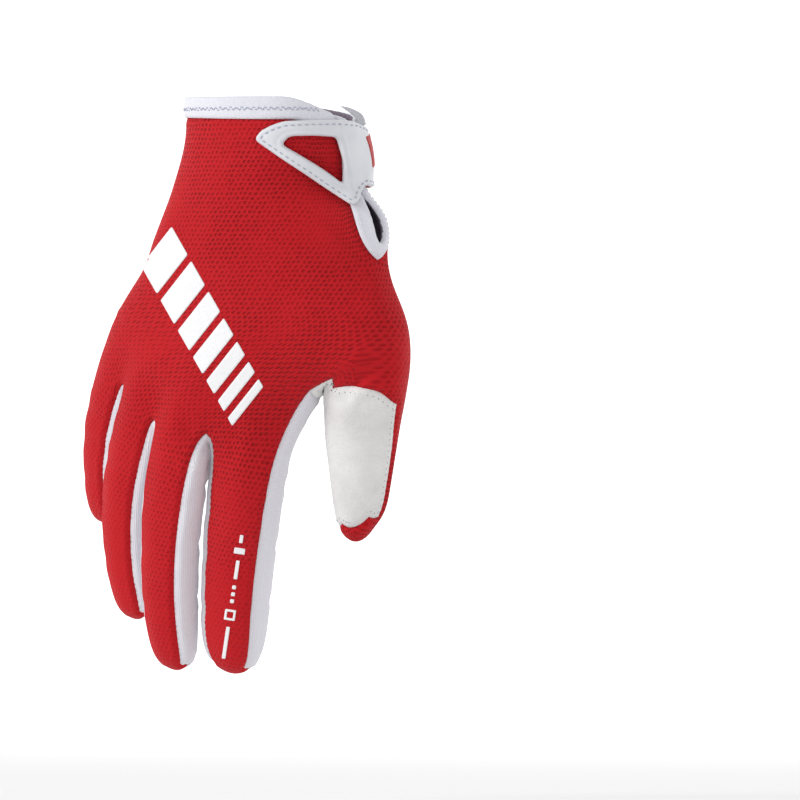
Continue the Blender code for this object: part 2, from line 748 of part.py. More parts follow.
def add_vents(palm, guides):
    """Small round holes through the leather of the fingers and the palm."""
    places = []
    for finger in FINGERS:
        form = FingerForm(finger)
        for along in finger.vents:
            _, back, _ = form.axes(along)
            places.append((form.centre(along) - back * FINGER_DEPTH * finger.girth / 2, back))
    for vent in PALM_VENTS:
        above = Vector((vent.across * HAND_SPAN, PALM_DEPTH / 2, -vent.along * HAND_LENGTH))
        places.append((above, Vector((0, -1, 0))))
    bm = bmesh.new()
    for place, axis in places:
        turn = axis.to_track_quat("Z", "Y").to_matrix().to_4x4()
        bmesh.ops.create_cone(
            bm, cap_ends=True, segments=VENT_SIDES, radius1=VENT_DIAMETER / 2,
            radius2=VENT_DIAMETER / 2, depth=FINGER_DEPTH / 2, matrix=Matrix.Translation(place) @ turn)
    mesh = bpy.data.meshes.new("vent_cutter")
    bm.to_mesh(mesh)
    bm.free()
    cutter = bpy.data.objects.new("vent_cutter", mesh)
    guides.objects.link(cutter)
    cutter.hide_render = True
    cutter.display_type = "WIRE"
    holes = palm.modifiers.new("Vents", "BOOLEAN")
    holes.operation = "DIFFERENCE"
    holes.solver = "EXACT"
    holes.object = cutter


def main():
    for old in list(bpy.data.objects):
        bpy.data.objects.remove(old, do_unlink=True)
    glove = bpy.data.collections.new("motocross_glove")
    guides = bpy.data.collections.new("guides")
    for collection in (glove, guides):
        bpy.context.scene.collection.children.link(collection)
    form = build_form(guides)
    bm = evaluated_form(form)
    parts = [panel_object(bm, number, panel, glove) for number, panel in enumerate(PANELS)]
    bm.free()
    add_strap(glove, parts)
    add_vents(bpy.data.objects["palm_panel"], guides)


main()
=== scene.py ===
"""Looks of a right-hand motocross glove, worn form, seen from the back with the fingers down.

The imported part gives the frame. The glove's form is smoothed again from the same cage as its
solids, but finely, and each panel of it gets its seams, folds, grain and stitches here.
"""

import math
from collections import defaultdict, namedtuple

import bmesh
import bpy
import numpy as np
from mathutils import Matrix, Vector, noise
from mathutils.bvhtree import BVHTree
from mathutils.kdtree import KDTree


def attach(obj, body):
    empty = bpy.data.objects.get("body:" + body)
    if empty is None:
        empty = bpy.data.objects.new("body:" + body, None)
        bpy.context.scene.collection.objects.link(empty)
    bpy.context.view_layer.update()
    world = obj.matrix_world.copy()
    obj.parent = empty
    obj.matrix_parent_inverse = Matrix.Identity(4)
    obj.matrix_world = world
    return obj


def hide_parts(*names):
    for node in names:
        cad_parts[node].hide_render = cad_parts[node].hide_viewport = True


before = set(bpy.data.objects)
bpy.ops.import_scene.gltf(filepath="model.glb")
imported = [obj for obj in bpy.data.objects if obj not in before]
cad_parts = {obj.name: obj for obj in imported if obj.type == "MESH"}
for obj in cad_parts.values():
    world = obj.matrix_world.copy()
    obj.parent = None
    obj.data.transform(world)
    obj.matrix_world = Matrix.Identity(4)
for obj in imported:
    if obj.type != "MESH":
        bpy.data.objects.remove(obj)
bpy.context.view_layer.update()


def rows(fields, *values):
    """A table's rows, with their fields named."""
    row = namedtuple("Row", fields)
    return tuple(row(*value) for value in values)


# Cuff and hand, in metres
CUFF_WIDTH = 0.0654
CUFF_DEPTH = 0.045
CUFF_BAND = 0.007
CUFF_DIP = 0.008
HAND_LENGTH = 0.124
HAND_SPAN = 0.127
PALM_DEPTH = 0.031
PALM_PADDING = 0.0025
WEB_SLANT = 0.004
WEB_DROP = 0.003

# Fingers, from their roots to their tips along the centre line
INDEX_LENGTH = 0.0935
MIDDLE_LENGTH = 0.093
RING_LENGTH = 0.088
LITTLE_LENGTH = 0.067
FINGER_WIDTH = 0.0292
FINGER_DEPTH = 0.0215

# Thumb, from the crotch beside the index finger to its tip
THUMB_LENGTH = 0.0555
THUMB_WIDTH = 0.0282
THUMB_DEPTH = 0.025
THUMB_CROTCH = 0.1085

# Keyhole slit on the thumb side of the wrist
SLIT_LENGTH = 0.0565
SLIT_WIDTH = 0.0046
SLIT_TURN = 12.0
SLIT_EDGING = 0.0052

# Walls, seams and the strap
LEATHER_WALL = 0.0013
KNIT_WALL = 0.0014
STRETCH_WALL = 0.0012
BINDING_WALL = 0.0026
BINDING_RISE = 0.0006
STRAP_WALL = 0.002
PATCH_WALL = 0.001
VENT_DIAMETER = 0.0016

# The cage stands out beyond the hand here, where its columns lie far apart
THUMB_SIDE_SWELL = 0.002

# A smoothed ring of 8 points is narrower than its cage by these shares
RING_WIDTH_KEPT = 0.94
RING_DEPTH_KEPT = 0.87
THUMB_RING_KEPT = 0.93
FINGER_TIP_KEPT = 0.444
THUMB_TIP_KEPT = 0.5

# How finely the form and its seams are followed, in metres where they are lengths
FINE_LEVELS = 4
SEAM_SAMPLE = 0.0004
FAR = 1.0
MM = 0.001
VIEW_REACH = 0.2

# The two sides of the glove, as level views round the upright axis, in degrees
BACK_VIEW = 25
PALM_VIEW = 155

# Binding tape: how round its free edge is and how full it stands
BINDING_ROLL = 0.0019
BINDING_PILLOW = 0.0004

SeamStyle = namedtuple("SeamStyle", "depth width pucker pitch")
STYLES = {
    "red_mesh": SeamStyle(0.0006, 0.0011, 0.3, 0.0024),
    "palm_leather": SeamStyle(0.0007, 0.001, 0.35, 0.003),
    "pad_leather": SeamStyle(0.0005, 0.001, 0.1, 0.003),
    "stretch_knit": SeamStyle(0.0006, 0.0012, 0.3, 0.0024),
    "binding_tape": SeamStyle(0.0005, 0.0008, 0.2, 0.003),
}
BOUND = SeamStyle(0.0005, 0.0011, 0.4, 0.0026)
# The cloth swells beside a seam: the share of its depth, and the place in widths
SEAM_SWELL = 0.3
SEAM_SWELL_PLACE = 2.2

# Soft folds and creases: millimetres, and lines across and down in a level view
FOLDS = rows(
    "view width depth line",
    ("back", 2.2, 0.9, ((27, 117), (30, 110), (37, 104), (46, 101))),
    ("back", 2.6, 0.7, ((22, 122), (25, 113), (32, 104), (42, 96))),
    ("back", 3.0, 0.6, ((34, 40), (37, 52), (43, 66), (48, 82))),
    ("back", 3.4, 0.45, ((-28, 62), (-18, 60), (-6, 62), (6, 60))),
    ("back", 3.2, 0.45, ((-26, 20), (-15, 22), (-4, 20))),
    ("back", 3.6, 0.5, ((-52, 100), (-44, 108), (-38, 118))),
    ("back", 3.0, 0.5, ((-34, 112), (-30, 122), (-29, 132))),
    ("back", 3.0, 0.5, ((-12, 118), (-13, 128), (-16, 140))),
    ("back", 2.4, 0.6, ((30, 78), (38, 84), (47, 86))),
    ("back", 2.6, 0.5, ((20, 44), (28, 50), (34, 58))),
    ("palm", 1.6, 1.3, ((10.2, 118.6), (14, 109), (21, 99.5))),
    ("palm", 1.4, 1.0, ((7.4, 108.9), (11, 99), (16.4, 90.1))),
    ("palm", 3.4, 0.8, ((-9.6, 107), (-4, 101), (2.9, 95.5))),
    ("palm", 2.4, 0.7, ((-62, 62), (-46, 70), (-36, 72), (-20, 66))),
    ("palm", 2.6, 0.7, ((-70, 84), (-58, 90), (-46, 96), (-30, 112))),
    ("palm", 2.2, 0.6, ((-70, 46), (-56, 50), (-44, 47))),
    ("palm", 2.2, 0.6, ((-4, 62), (-10, 76), (-20, 86))),
    ("palm", 2.6, 0.5, ((-40, 28), (-36, 40), (-38, 54))),
    ("palm", 2.0, 0.6, ((-58, 104), (-50, 108), (-44, 116))),
    ("palm", 2.0, 0.6, ((-34, 116), (-26, 119), (-18, 124))),
)
# Folds show where the cloth faces their view this much, and fade toward their ends. Each has a ridge
# beside it: its share of the depth, and its place in widths
FOLD_FACING = (0.1, 0.45)
FOLD_END = 0.02
FOLD_FADE = 0.6
FOLD_RIDGE = 0.4
FOLD_RIDGE_PLACE = 1.9
# How large and how high the cloth's unevenness is, in metres
UNEVEN = ((0.026, 0.0005), (0.012, 0.0002))
SEAM_FADE = 0.006

# Creases across the fingers: shares of their length, the side that is creased most (1 is the
# back, -1 the palm), and their width and depth in metres
FINGER_CREASES = rows(
    "along side width depth",
    (0.2, -1, 0.0022, 0.0008),
    (0.31, 1, 0.003, 0.00025),
    (0.45, -1, 0.002, 0.0006),
    (0.5, 1, 0.0028, 0.0002),
    (0.68, -1, 0.0018, 0.0005),
    (0.72, 1, 0.0025, 0.0002),
)

# Where a crease fades: finger widths from the centre line, and how much the cloth faces its side.
# The cloth swells beside it by this share of its depth
CREASE_REACH = (0.85, 0.7)
CREASE_FACING = (0.1, 0.8)
CREASE_SWELL = 0.45

# How far points of the cage move down for the seams' sake: the white pad's upper corner is round
# and its lower edge lies close to the thumb's tip
SEAM_SHIFTS = {
    ("thumb", 1, 0): 0.0105, ("thumb", 1, 1): 0.0012, ("thumb", 1, 2): -0.0012, ("thumb", 1, 3): -0.0028,
    ("hand", 8, 0): 0.0022,
    ("thumb", 2, 0): 0.0055, ("thumb", 3, 0): 0.002,
    ("thumb", 5, 0): -0.0005, ("thumb", 5, 1): 0.002, ("thumb", 5, 2): 0.0042, ("thumb", 5, 3): 0.0055,
    ("thumb", 5, 4): 0.0045,
}
# Where the pad's outer seam lies on each of the thumb's rings, in degrees
PAD_SEAM_ANGLES = (8, 27, 13, 2, 0, 8)
# How much farther round, in degrees, a finger's seam lies on its side away from the thumb
AWAY_SEAMS = {"index": 14}
# Where the slit lies at each row: how far it turns toward the palm in degrees and moves down in
# metres, and its opening and the width of its binding as shares of their own sizes
SLIT_ROWS = rows(
    "turn down opening edging",
    (9, 0.0, 1.35, 0.66),
    (9, 0.0, 1.15, 0.66),
    (8, 0.0, 1.25, 0.74),
    (2, 0.0065, 1.75, 0.92),
)
# The cuff's edge sinks this far to the back and to the palm of the slit, in degrees
CUFF_REACH = (17, 95)

# The strap draws the wrist in beside the slit: how deep, where and how far round, in metres
# below the cuff and in degrees
CINCH_DEPTH = 0.006
CINCH_PLACE = (0.0315, 0.0095)
CINCH_REACH = 36

# The strap lies round the wrist: degrees from the thumb side to the back, and millimetres down
STRAP_MM_PER_DEGREE = 0.48
STRAP_OUTLINE = (
    (84.5, 16.2), (80, 13.0), (72, 10.8), (63.4, 9.3), (45, 8.9), (25, 8.7), (8, 9.2), (-5, 10.4),
    (-17, 11.2), (-50, 8.8), (-80, 6.5), (-107, 4.4), (-98.2, 26.1), (-70, 29.6), (-34.8, 34.0),
    (-10, 33.4), (6.3, 33.0), (18, 35.6), (26, 39.2), (32, 40.6), (49.1, 33.1), (59.8, 27.9), (73, 21.6),
)
STRAP_WINDOW = ((68, 17.9), (61.8, 14.9), (45, 14.7), (28.5, 15.2), (27, 25.3), (31.5, 32.4), (57.6, 21.9))
TAB_STITCH = ((-90.4, 24.7), (-35.5, 31.4), (-24.4, 13.9), (-102, 7.4))
PATCH_OUTLINE = ((-50, 9.5), (-80, 7.6), (-119, 4.4), (-105.7, 21.4), (-75, 26), (-50, 29))
STRAP_CORNER = 1.6
STRAP_EDGE = 1.1
STRAP_EDGE_HEIGHT = 0.25
STRAP_STITCH_INSET = 1.7
TAB_STITCH_CORNER = 2.0
# Grooves along the stitches, across the fold and round the tab's stitches: depth in millimetres, and
# width in millimetres, or in degrees across the fold
STRAP_GROOVES = ((0.3, 0.6), (0.5, 1.6), (0.2, 0.6))
# The patch is this share of its height at its edge, and rises between these depths inside it
PATCH_EDGE = 0.5
PATCH_BORDER = (0.2, 1.0)
STRAP_FOLD_TURN = 24.5
STRAP_BRIDGES = 3.5
SEAT_CLEARANCE = 0.0003
PLATE_STEP = 0.5

# A small grey pull tab above the strap's fold, and a plain red mark on the strap: degrees from the
# thumb side and millimetres down
PULL_TAB = ((-7.5, 4.6), (-3.5, 3.2), (-0.5, 5.4), (-1.0, 11.0), (-8.5, 11.0))
PULL_TAB_CORNER = 0.9
PULL_TAB_STEP = 0.3
PULL_TAB_HEIGHT = 0.0022
PULL_TAB_EDGE = 0.0003
STRAP_MARK = ((-1, 15.0), (-21, 13.5), (-25, 24.5), (-4, 26.5))
STRAP_MARK_CORNER = 0.6
STRAP_MARK_STEP = 0.4

# A stitch: how far along it each ring of its thread lies, and the ring's share of its thickness
THREAD_RINGS = (
    (-0.5, 0.05), (-0.46, 0.55), (-0.36, 0.9), (-0.15, 1.0),
    (0.15, 1.0), (0.36, 0.9), (0.46, 0.55), (0.5, 0.05),
)
THREAD_SIDES = 7
THREAD_ARCH = 0.8
# Rows of stitches and needle holes: their look and slot, the length of each, their pitch and the
# thread's radius in metres, and how deep it is sunk, as a share of its thickness
STITCHES = {
    "strap_stitches": ("grey_thread", "strap_moulding", 0.0015, 0.0026, 0.0002, 0.3),
    "tab_stitches": ("thread", "strap_moulding", 0.0013, 0.0019, 0.00022, 0.3),
    "cuff_stitches": ("grey_thread", "binding_tape", 0.0011, 0.0013, 0.0002, 0.3),
    "slit_stitches": ("thread", "binding_tape", 0.0012, 0.0019, 0.0002, 0.3),
    # The needle holes are short dark shapes whose colour is painted shade inside the holes
    "pad_needle_holes": ("pinhole", "pad_leather", 0.0005, 0.0024, 0.00022, 0.75),
    "heel_stitches": ("pinhole", "palm_leather", 0.0011, 0.0021, 0.00022, 0.7),
    "vent_strip_stitches": ("pinhole", "palm_leather", 0.0009, 0.0019, 0.00022, 0.7),
}
# How far beside their seams the stitches of the slit and of the pad run, in metres
SLIT_STITCH_OFFSET = 0.0016
PAD_STITCH_OFFSET = 0.0022
# The pad's holes show where it faces sideways this much, or this far toward the thumb, in metres
PAD_HOLES_FACING = 0.3
PAD_HOLES_FROM = 0.044
# The cuff's zigzag in millimetres: depth, swing and pitch. It follows the dip of this row
CUFF_ZIGZAG = (4.6, 0.55, 0.95)
CUFF_ZIGZAG_ROW = 0.7
SHORTEST_PATH = 5
# Rays onto a surface: where they start above it and how far they reach, in metres
SEAM_RAY = (0.004, 0.01)
CUFF_RAY = (0.01, 0.02)
STRAP_RAY = (0.03, 0.04)

PRINT_WALL = 0.00022
# A row of slanted bars across the knuckles: where it starts, which way it runs, and the bars'
# widths, in millimetres in the back view
BARS_START = (-41.5, 55.5)
BARS_RUN = (0.497, 0.868)
BARS_HEIGHT = 17.2
BARS_SLANT = -0.2
BARS_GAP = 2.8
BAR_WIDTHS = (12.0, 10.2, 8.6, 7.2, 5.8, 4.6, 3.4)
BAR_CORNER = 0.5
BARS_STEP = 0.45

# Small marks down the index finger, in millimetres in the back view: where each lies along the
# row, how long it is and how high
MARKS_START = (-16.6, 209.0)
MARKS_END = (-9.6, 162.5)
MARKS = ((0.0, 12.0, 1.3), (14.5, 4.0, 4.0), (21.0, 1.4, 1.4), (23.6, 1.4, 1.4), (26.2, 1.4, 1.4),
         (30.0, 7.0, 1.3), (39.5, 2.2, 4.0), (43.6, 3.0, 1.3))
# Marks that are no smaller than this are frames, whose sides together are this wide
HOLLOW_MARK = 3
MARK_FRAME = 1.6
MARK_CORNERS = (0.3, 0.2)
MARKS_STEP = 0.25

# Rows of stitches on the palm, in millimetres in the palm view
HEEL_STITCH = ((-46, 15.5), (-30, 25), (-13.2, 35.8), (-8.8, 40.5), (-3.2, 50.3), (0.8, 69.1), (5.2, 84.6))
VENT_STRIP = (
    (-27.8, 71.9), (-32.1, 78), (-31.3, 79.6), (-19.3, 91.5), (-7.8, 105), (3, 97), (-8, 88), (-16, 81.3),
)

# The camera stands level off the back of the hand, and the photo's middle lies here
CAMERA_DISTANCE = 7.0
CAMERA_REACH = 60
VIEW_ACROSS = 0.0491
VIEW_DOWN = 0.1127
VIEW_WIDTH = 0.2976
SENSOR_WIDTH = 36

# Colours, as linear shares of red, green and blue
RED = (0.5, 0.009, 0.014, 1)
# RED_DEEP is the painted shade in the mesh's dimples, and the darker fibres of the mesh and of the red print
RED_DEEP = (0.32, 0.002, 0.005, 1)
RED_FRESH = (0.58, 0.016, 0.022, 1)
LEATHER_WHITE = (0.78, 0.77, 0.77, 1)
LEATHER_SHADE = (0.71, 0.7, 0.71, 1)
PAD_WHITE = (0.74, 0.735, 0.725, 1)
PAD_SHADE = (0.63, 0.62, 0.615, 1)
KNIT_WHITE = (0.76, 0.75, 0.8, 1)
KNIT_SHADE = (0.69, 0.68, 0.74, 1)
TAPE_WHITE = (0.74, 0.735, 0.79, 1)
TAPE_SHADE = (0.66, 0.66, 0.73, 1)
STRAP_WHITE = (0.7, 0.715, 0.75, 1)
STRAP_SHADE = (0.65, 0.66, 0.7, 1)
PILE_PINK = (0.8, 0.72, 0.73, 1)
PILE_SHADE = (0.55, 0.45, 0.48, 1)
# Plain finishes: their own name, two colours, the grain's size, roughness and the grain's height
FINE_LOOKS = {
    # The lining is coloured dark as painted shade of the glove's hollow, seen in the slit and through the
    # vents
    "lining": ("lining", (0.2, 0.165, 0.21, 1), (0.13, 0.105, 0.14, 1), 0.0008, 0.9, 0.0002),
    "thread": ("white_thread", (0.8, 0.8, 0.83, 1), (0.6, 0.6, 0.66, 1), 0.0003, 0.5, 0.00005),
    "grey_thread": ("grey_thread", (0.42, 0.46, 0.55, 1), (0.3, 0.33, 0.42, 1), 0.0003, 0.6, 0.00005),
    "pull_tab": ("pull_tab", (0.5, 0.5, 0.54, 1), (0.4, 0.4, 0.44, 1), 0.0006, 0.5, 0.0001),
    # The pinhole's dark colour is painted shade inside a needle hole
    "pinhole": ("pinhole", (0.25, 0.24, 0.26, 1), (0.14, 0.13, 0.15, 1), 0.0004, 0.9, 0.00005),
    "print": ("white_print", (0.86, 0.86, 0.87, 1), (0.78, 0.78, 0.8, 1), 0.0008, 0.5, 0.0001),
    "mark": ("red_print", RED, RED_DEEP, 0.0008, 0.5, 0.0001),
}
# Corners this many times farther apart on the flat cloth than on the glove lie on the cloth's two ends
CLOTH_BREAK = 3.0
# The mesh's dimples stand this far apart across the cloth and down it, in metres
MESH_PITCH = (0.00205, 0.0017)
KNIT_RIB = 0.0008

# Studio: metres, shares of full white, and watts
FLOOR = -0.262
SWEEP_RADIUS = 8.0
SWEEP_BEND = 1.5
SWEEP_TOP = 7.0
SWEEP_STEPS = 12
SWEEP_SIDES = 96
# The sweep glows from one strength to the other between these places behind the glove
SWEEP_DEPTH = (0.3, 2.4)
SWEEP_GLOW = (0.6, 1.12)
SWEEP_WHITE = (0.3, 0.3, 0.3, 1)
SWEEP_GREY = (0.27, 0.27, 0.27, 1)
SKY_GLOW = 0.56
LIGHTS = (
    ("key", (-2.1, -1.7, 1.2), 1.0, 44),
    ("fill", (2.2, -1.6, 0.4), 1.6, 1.5),
)

BINDINGS = ("cuff_binding", "slit_binding")
PANELS = rows(
    "name wall slot look",
    ("back_panel", KNIT_WALL, "back_mesh", "red_mesh"),
    ("palm_panel", LEATHER_WALL, "palm_leather", "palm_leather"),
    ("thumb_pad", LEATHER_WALL, "pad_leather", "pad_leather"),
    *((name, STRETCH_WALL, "stretch_cloth", "stretch_knit") for name in (
        "fourchette_middle_index", "fourchette_ring_middle", "fourchette_little_ring",
        "sidewall_index", "sidewall_little")),
    *((name, BINDING_WALL, "binding_tape", "binding_tape") for name in BINDINGS),
)
PANEL_NUMBERS = {panel.name: number for number, panel in enumerate(PANELS)}

# The palm's columns run round the hand from the slit over the back to the little finger's side,
# and back over the palm. Odd columns of the back and the palm are a finger's middle.
BACK_COLUMNS = 8
LITTLE_SIDE = 9
PALM_FIRST = 10
INDEX_PALM = 18
THUMB_SIDE = 19
COLUMNS = 20

# Each finger's own columns, in the order of RING
RING = ("back", "back_thumbward", "thumbward", "palm_thumbward", "palm", "palm_away", "away", "back_away")

# across, palmward and along place the root as shares of HAND_SPAN, PALM_DEPTH and HAND_LENGTH.
# lean and curl are the angles at the root and the tip. seam is the root's own seam angle, and
# seam_shift moves the seam of the other rings. vents are shares of the length.
FINGERS = rows(
    "name length girth across palmward along lean curl roll seam seam_shift columns walls vents",
    ("index", INDEX_LENGTH, 1.0, -0.043, -0.065, 1.0, (-9.8, -9.8), (3, 16), 0, 86, 0,
           (1, 0, 19, 18, 17, 16, "web_1", 2),
           ("sidewall_index", "fourchette_middle_index"), (0.41, 0.565, 0.74)),
    ("middle", MIDDLE_LENGTH, 0.91, -0.255, -0.16, 1.0, (-15, 0), (4, 20), 23, 66, 0,
           (3, 2, "web_1", 16, 15, 14, "web_2", 4),
           ("fourchette_middle_index", "fourchette_ring_middle"), (0.28, 0.45, 0.62)),
    ("ring", RING_LENGTH, 0.85, -0.392, 0.032, 0.911, (-29, 8), (17, 15), 28, 64, 0,
           (5, 4, "web_2", 14, 13, 12, "web_3", 6),
           ("fourchette_ring_middle", "fourchette_little_ring"), (0.33, 0.5, 0.66)),
    ("little", LITTLE_LENGTH, 0.78, -0.5, 0.29, 0.806, (-33, 0), (24, 20), 36, 58, -8,
           (7, 6, "web_3", 12, 11, 10, 9, 8),
           ("fourchette_little_ring", "sidewall_little"), (0.36, 0.56, 0.74)),
)
# Shares of HAND_SPAN and HAND_LENGTH
PALM_VENTS = rows(
    "across along",
    (-0.143, 0.654),
    (-0.049, 0.74),
    (0.045, 0.83),
)

# Shares of the finger's length and girth, and the seam's angle from the middle of the back
FINGER_SECTIONS = rows(
    "along width depth seam",
    (0.0, 1.06, 1.08, None),
    (0.14, 1.02, 1.03, 64),
    (0.34, 1.0, 1.0, 56),
    (0.55, 0.96, 0.96, 51),
    (0.75, 0.9, 0.9, 50),
    (0.90, 0.81, 0.8, 55),
    (0.975, 0.55, 0.54, 60),
)
PAD_HALF_ANGLE = 56.0
TIP_PALMWARD = 0.1

# Ellipses of the hand: shares of HAND_LENGTH and HAND_SPAN, and how far the width has gone from
# CUFF_WIDTH to HAND_SPAN and the depth from CUFF_DEPTH to PALM_DEPTH
BODY_SECTIONS = rows(
    "along centre widening thinning",
    (0.0, 0.0, 0.0, 0.0),
    (0.073, 0.009, 0.042, 0.01),
    (0.145, 0.0165, 0.1, 0.02),
    (0.242, 0.0205, 0.234, 0.06),
    (0.339, 0.019, 0.393, 0.14),
    (0.403, 0.0126, 0.494, 0.2),
    (0.484, 0.002, 0.53, 0.29),
    (0.565, 0.007, 0.69, 0.43),
    (0.669, 0.03, 0.855, 0.57),
    (0.774, -0.009, 0.98, 0.71),
    (0.879, -0.061, 1.0, 0.86),
    (1.0, -0.075, 1.0, 1.0),
)

# How far down the hand each row lies, and how far its shape has gone over to the knuckles
PALM_ROWS = rows(
    "along knuckle",
    (0.0, 0.0),
    (CUFF_BAND / HAND_LENGTH, 0.0),
    (0.194, 0.0),
    (0.339, 0.0),
    (0.508, 0.0),
    (0.585, 0.04),
    (0.675, 0.08),
    (0.774, 0.27),
    (0.879, 0.72),
)
SLIT_TIP_ROW = 4
THUMB_TOP_ROW = 5
THUMB_CROTCH_ROW = 8
LAST_ROW = len(PALM_ROWS)

# Rim of the thumb's root, round from the back of the top: shares of HAND_SPAN, PALM_DEPTH and
# THUMB_CROTCH
THUMB_RIM = rows(
    "row column across palmward along",
    (5, 0, 0.41, -0.19, 0.66),
    (6, 0, 0.362, -0.39, 0.765),
    (7, 0, 0.268, -0.42, 0.885),
    (8, 0, 0.168, -0.24, 0.995),
    (8, 19, 0.18, 0.1, 1.008),
    (8, 18, 0.15, 0.43, 0.985),
    (7, 18, 0.197, 0.58, 0.903),
    (6, 18, 0.22, 0.64, 0.82),
    (5, 18, 0.236, 0.65, 0.737),
    (5, 19, 0.4, 0.27, 0.66),
)
# Angles of a thumb ring's points, from the outer side over the back to the inner side
THUMB_ANGLES = (8, 45, 82, 120, 158, 192, 222, 255, 288, 328)
THUMB_SEAM = 8

# Shares of HAND_SPAN, PALM_DEPTH, THUMB_LENGTH (from the crotch), THUMB_WIDTH and THUMB_DEPTH,
# the rise of the outer side in degrees, and how far the back of the ring is raised, as a share of
# THUMB_WIDTH
THUMB_SECTIONS = rows(
    "across palmward along half_width tilt half_depth back_rise",
    (0.314, 0.15, -0.17, 0.72, 30, 0.62, 0.0),
    (0.29, 0.22, 0.05, 0.56, -2, 0.57, 0.13),
    (0.273, 0.29, 0.26, 0.515, 0, 0.5, 0.0),
    (0.261, 0.36, 0.46, 0.45, 0, 0.455, 0.0),
    (0.252, 0.42, 0.67, 0.395, 0, 0.41, 0.0),
    (0.244, 0.47, 0.845, 0.33, 0, 0.34, -0.09),
)
THUMB_TIP_ACROSS = 0.243
THUMB_TIP_PALMWARD = 0.42


def lerp(a, b, share):
    return a + (b - a) * share


def read_section(sections, along):
    """A row of a section table at any place along it, eased between its rows."""
    last = len(sections) - 1
    step = 0
    while step < last - 1 and along > sections[step + 1].along:
        step += 1
    low, high = sections[step], sections[step + 1]
    share = (along - low.along) / (high.along - low.along)
    before = sections[max(step - 1, 0)]
    after = sections[min(step + 2, last)]
    values = []
    for p0, p1, p2, p3 in zip(before, low, high, after):
        curve = 2 * p1 + (p2 - p0) * share
        curve += (2 * p0 - 5 * p1 + 4 * p2 - p3) * share**2
        curve += (3 * p1 - p0 - 3 * p2 + p3) * share**3
        values.append(curve / 2)
    return type(low)(*values)


def body_point(turn, depth, lift=0.0):
    """A point on the hand's ellipse, depth below the cuff, and the ellipse's outward normal there."""
    section = read_section(BODY_SECTIONS, depth / HAND_LENGTH)
    half_width = lerp(CUFF_WIDTH, HAND_SPAN, section.widening) / 2
    half_depth = lerp(CUFF_DEPTH, PALM_DEPTH, section.thinning) / 2
    angle = math.radians(turn)
    normal = Vector((math.cos(angle) / half_width, -math.sin(angle) / half_depth, 0)).normalized()
    x = section.centre * HAND_SPAN + half_width * math.cos(angle)
    y = -half_depth * math.sin(angle)
    return Vector((x, y, -depth)) + normal * lift, normal


def column_turn(column):
    """Where a column starts at the wrist, in degrees from the thumb side over the back."""
    first_back, last_back = 52, 155
    first_palm, last_palm = 205, 287
    if column == 0:
        return SLIT_TURN
    if column <= BACK_COLUMNS:
        return lerp(first_back, last_back, (column - 1) / (BACK_COLUMNS - 1))
    if column == LITTLE_SIDE:
        return 180
    if column <= INDEX_PALM:
        return lerp(first_palm, last_palm, (column - PALM_FIRST) / (INDEX_PALM - PALM_FIRST))
    return 336


class FingerForm:
    """The centre line and the rings of one finger."""

    STEPS = 40

    def __init__(self, finger):
        self.finger = finger
        root = Vector((finger.across * HAND_SPAN, finger.palmward * PALM_DEPTH, -finger.along * HAND_LENGTH))
        self.line = [root]
        for step in range(self.STEPS):
            heading = self.heading((step + 0.5) / self.STEPS)
            self.line.append(self.line[-1] + heading * finger.length / self.STEPS)

    def heading(self, along):
        lean = math.radians(lerp(*self.finger.lean, along))
        curl = math.radians(lerp(*self.finger.curl, along))
        return Vector((math.tan(lean), math.tan(curl), -1)).normalized()

    def centre(self, along):
        place = along * self.STEPS
        step = min(int(place), self.STEPS - 1)
        return self.line[step].lerp(self.line[step + 1], place - step)

    def axes(self, along):
        """Directions toward the thumb, toward the back of the hand and down the finger."""
        heading = self.heading(along)
        roll = math.radians(self.finger.roll)
        side = Vector((math.cos(roll), -math.sin(roll), 0))
        side = (side - heading * side.dot(heading)).normalized()
        back = side.cross(heading).normalized()
        if back.y > 0:
            back.negate()
        return side, back, heading

    def point(self, section, angle):
        """A point of the cage at an angle from the middle of the back toward the thumb."""
        side, back, heading = self.axes(section.along)
        turn = math.radians(angle)
        half_width = FINGER_WIDTH * self.finger.girth * section.width / 2 / RING_WIDTH_KEPT
        half_depth = FINGER_DEPTH * self.finger.girth * section.depth / 2 / RING_DEPTH_KEPT
        place = self.centre(section.along) + side * half_width * math.sin(turn)
        place += back * half_depth * math.cos(turn)
        slant = WEB_SLANT * max(0.0, 1 - section.along / FINGER_SECTIONS[2].along)
        return place - heading * slant * math.cos(turn)

    def ring(self, section):
        seam = self.finger.seam if section.seam is None else section.seam + self.finger.seam_shift
        pad = 180 - PAD_HALF_ANGLE
        away = seam + AWAY_SEAMS.get(self.finger.name, 0)
        angles = (0, seam, (seam + pad) / 2, pad, 180, 360 - pad, 360 - (away + pad) / 2, 360 - away)
        if section.seam is None:
            angles = angles[:7] + (360 - FINGER_SECTIONS[1].seam - self.finger.seam_shift,)
        return [self.point(section, angle) for angle in angles]

    def tip(self):
        last = FINGER_SECTIONS[-1].along
        reach = (1 - last) / FINGER_TIP_KEPT * self.finger.length
        _, back, heading = self.axes(1.0)
        return self.centre(last) + heading * reach - back * FINGER_DEPTH * TIP_PALMWARD


class Cage:
    """Named points, and faces that each belong to a panel."""

    def __init__(self):
        self.points = {}
        self.faces = []

    def add_face(self, panel, *names):
        self.faces.append((panel, names))

    def to_mesh(self, name):
        mesh = bpy.data.meshes.new(name)
        order = {key: number for number, key in enumerate(self.points)}
        polygons = [[order[key] for key in keys] for _, keys in self.faces]
        mesh.from_pydata(list(self.points.values()), [], polygons)
        flat = cloth_places(self)
        cloth = mesh.uv_layers.new(name="cloth").data
        corner = 0
        for polygon, (panel, keys) in zip(mesh.polygons, self.faces):
            polygon.material_index = PANEL_NUMBERS[panel]
            for place in face_places(flat, self.points, keys):
                cloth[corner].uv = place
                corner += 1
        mesh.flip_normals()
        return mesh


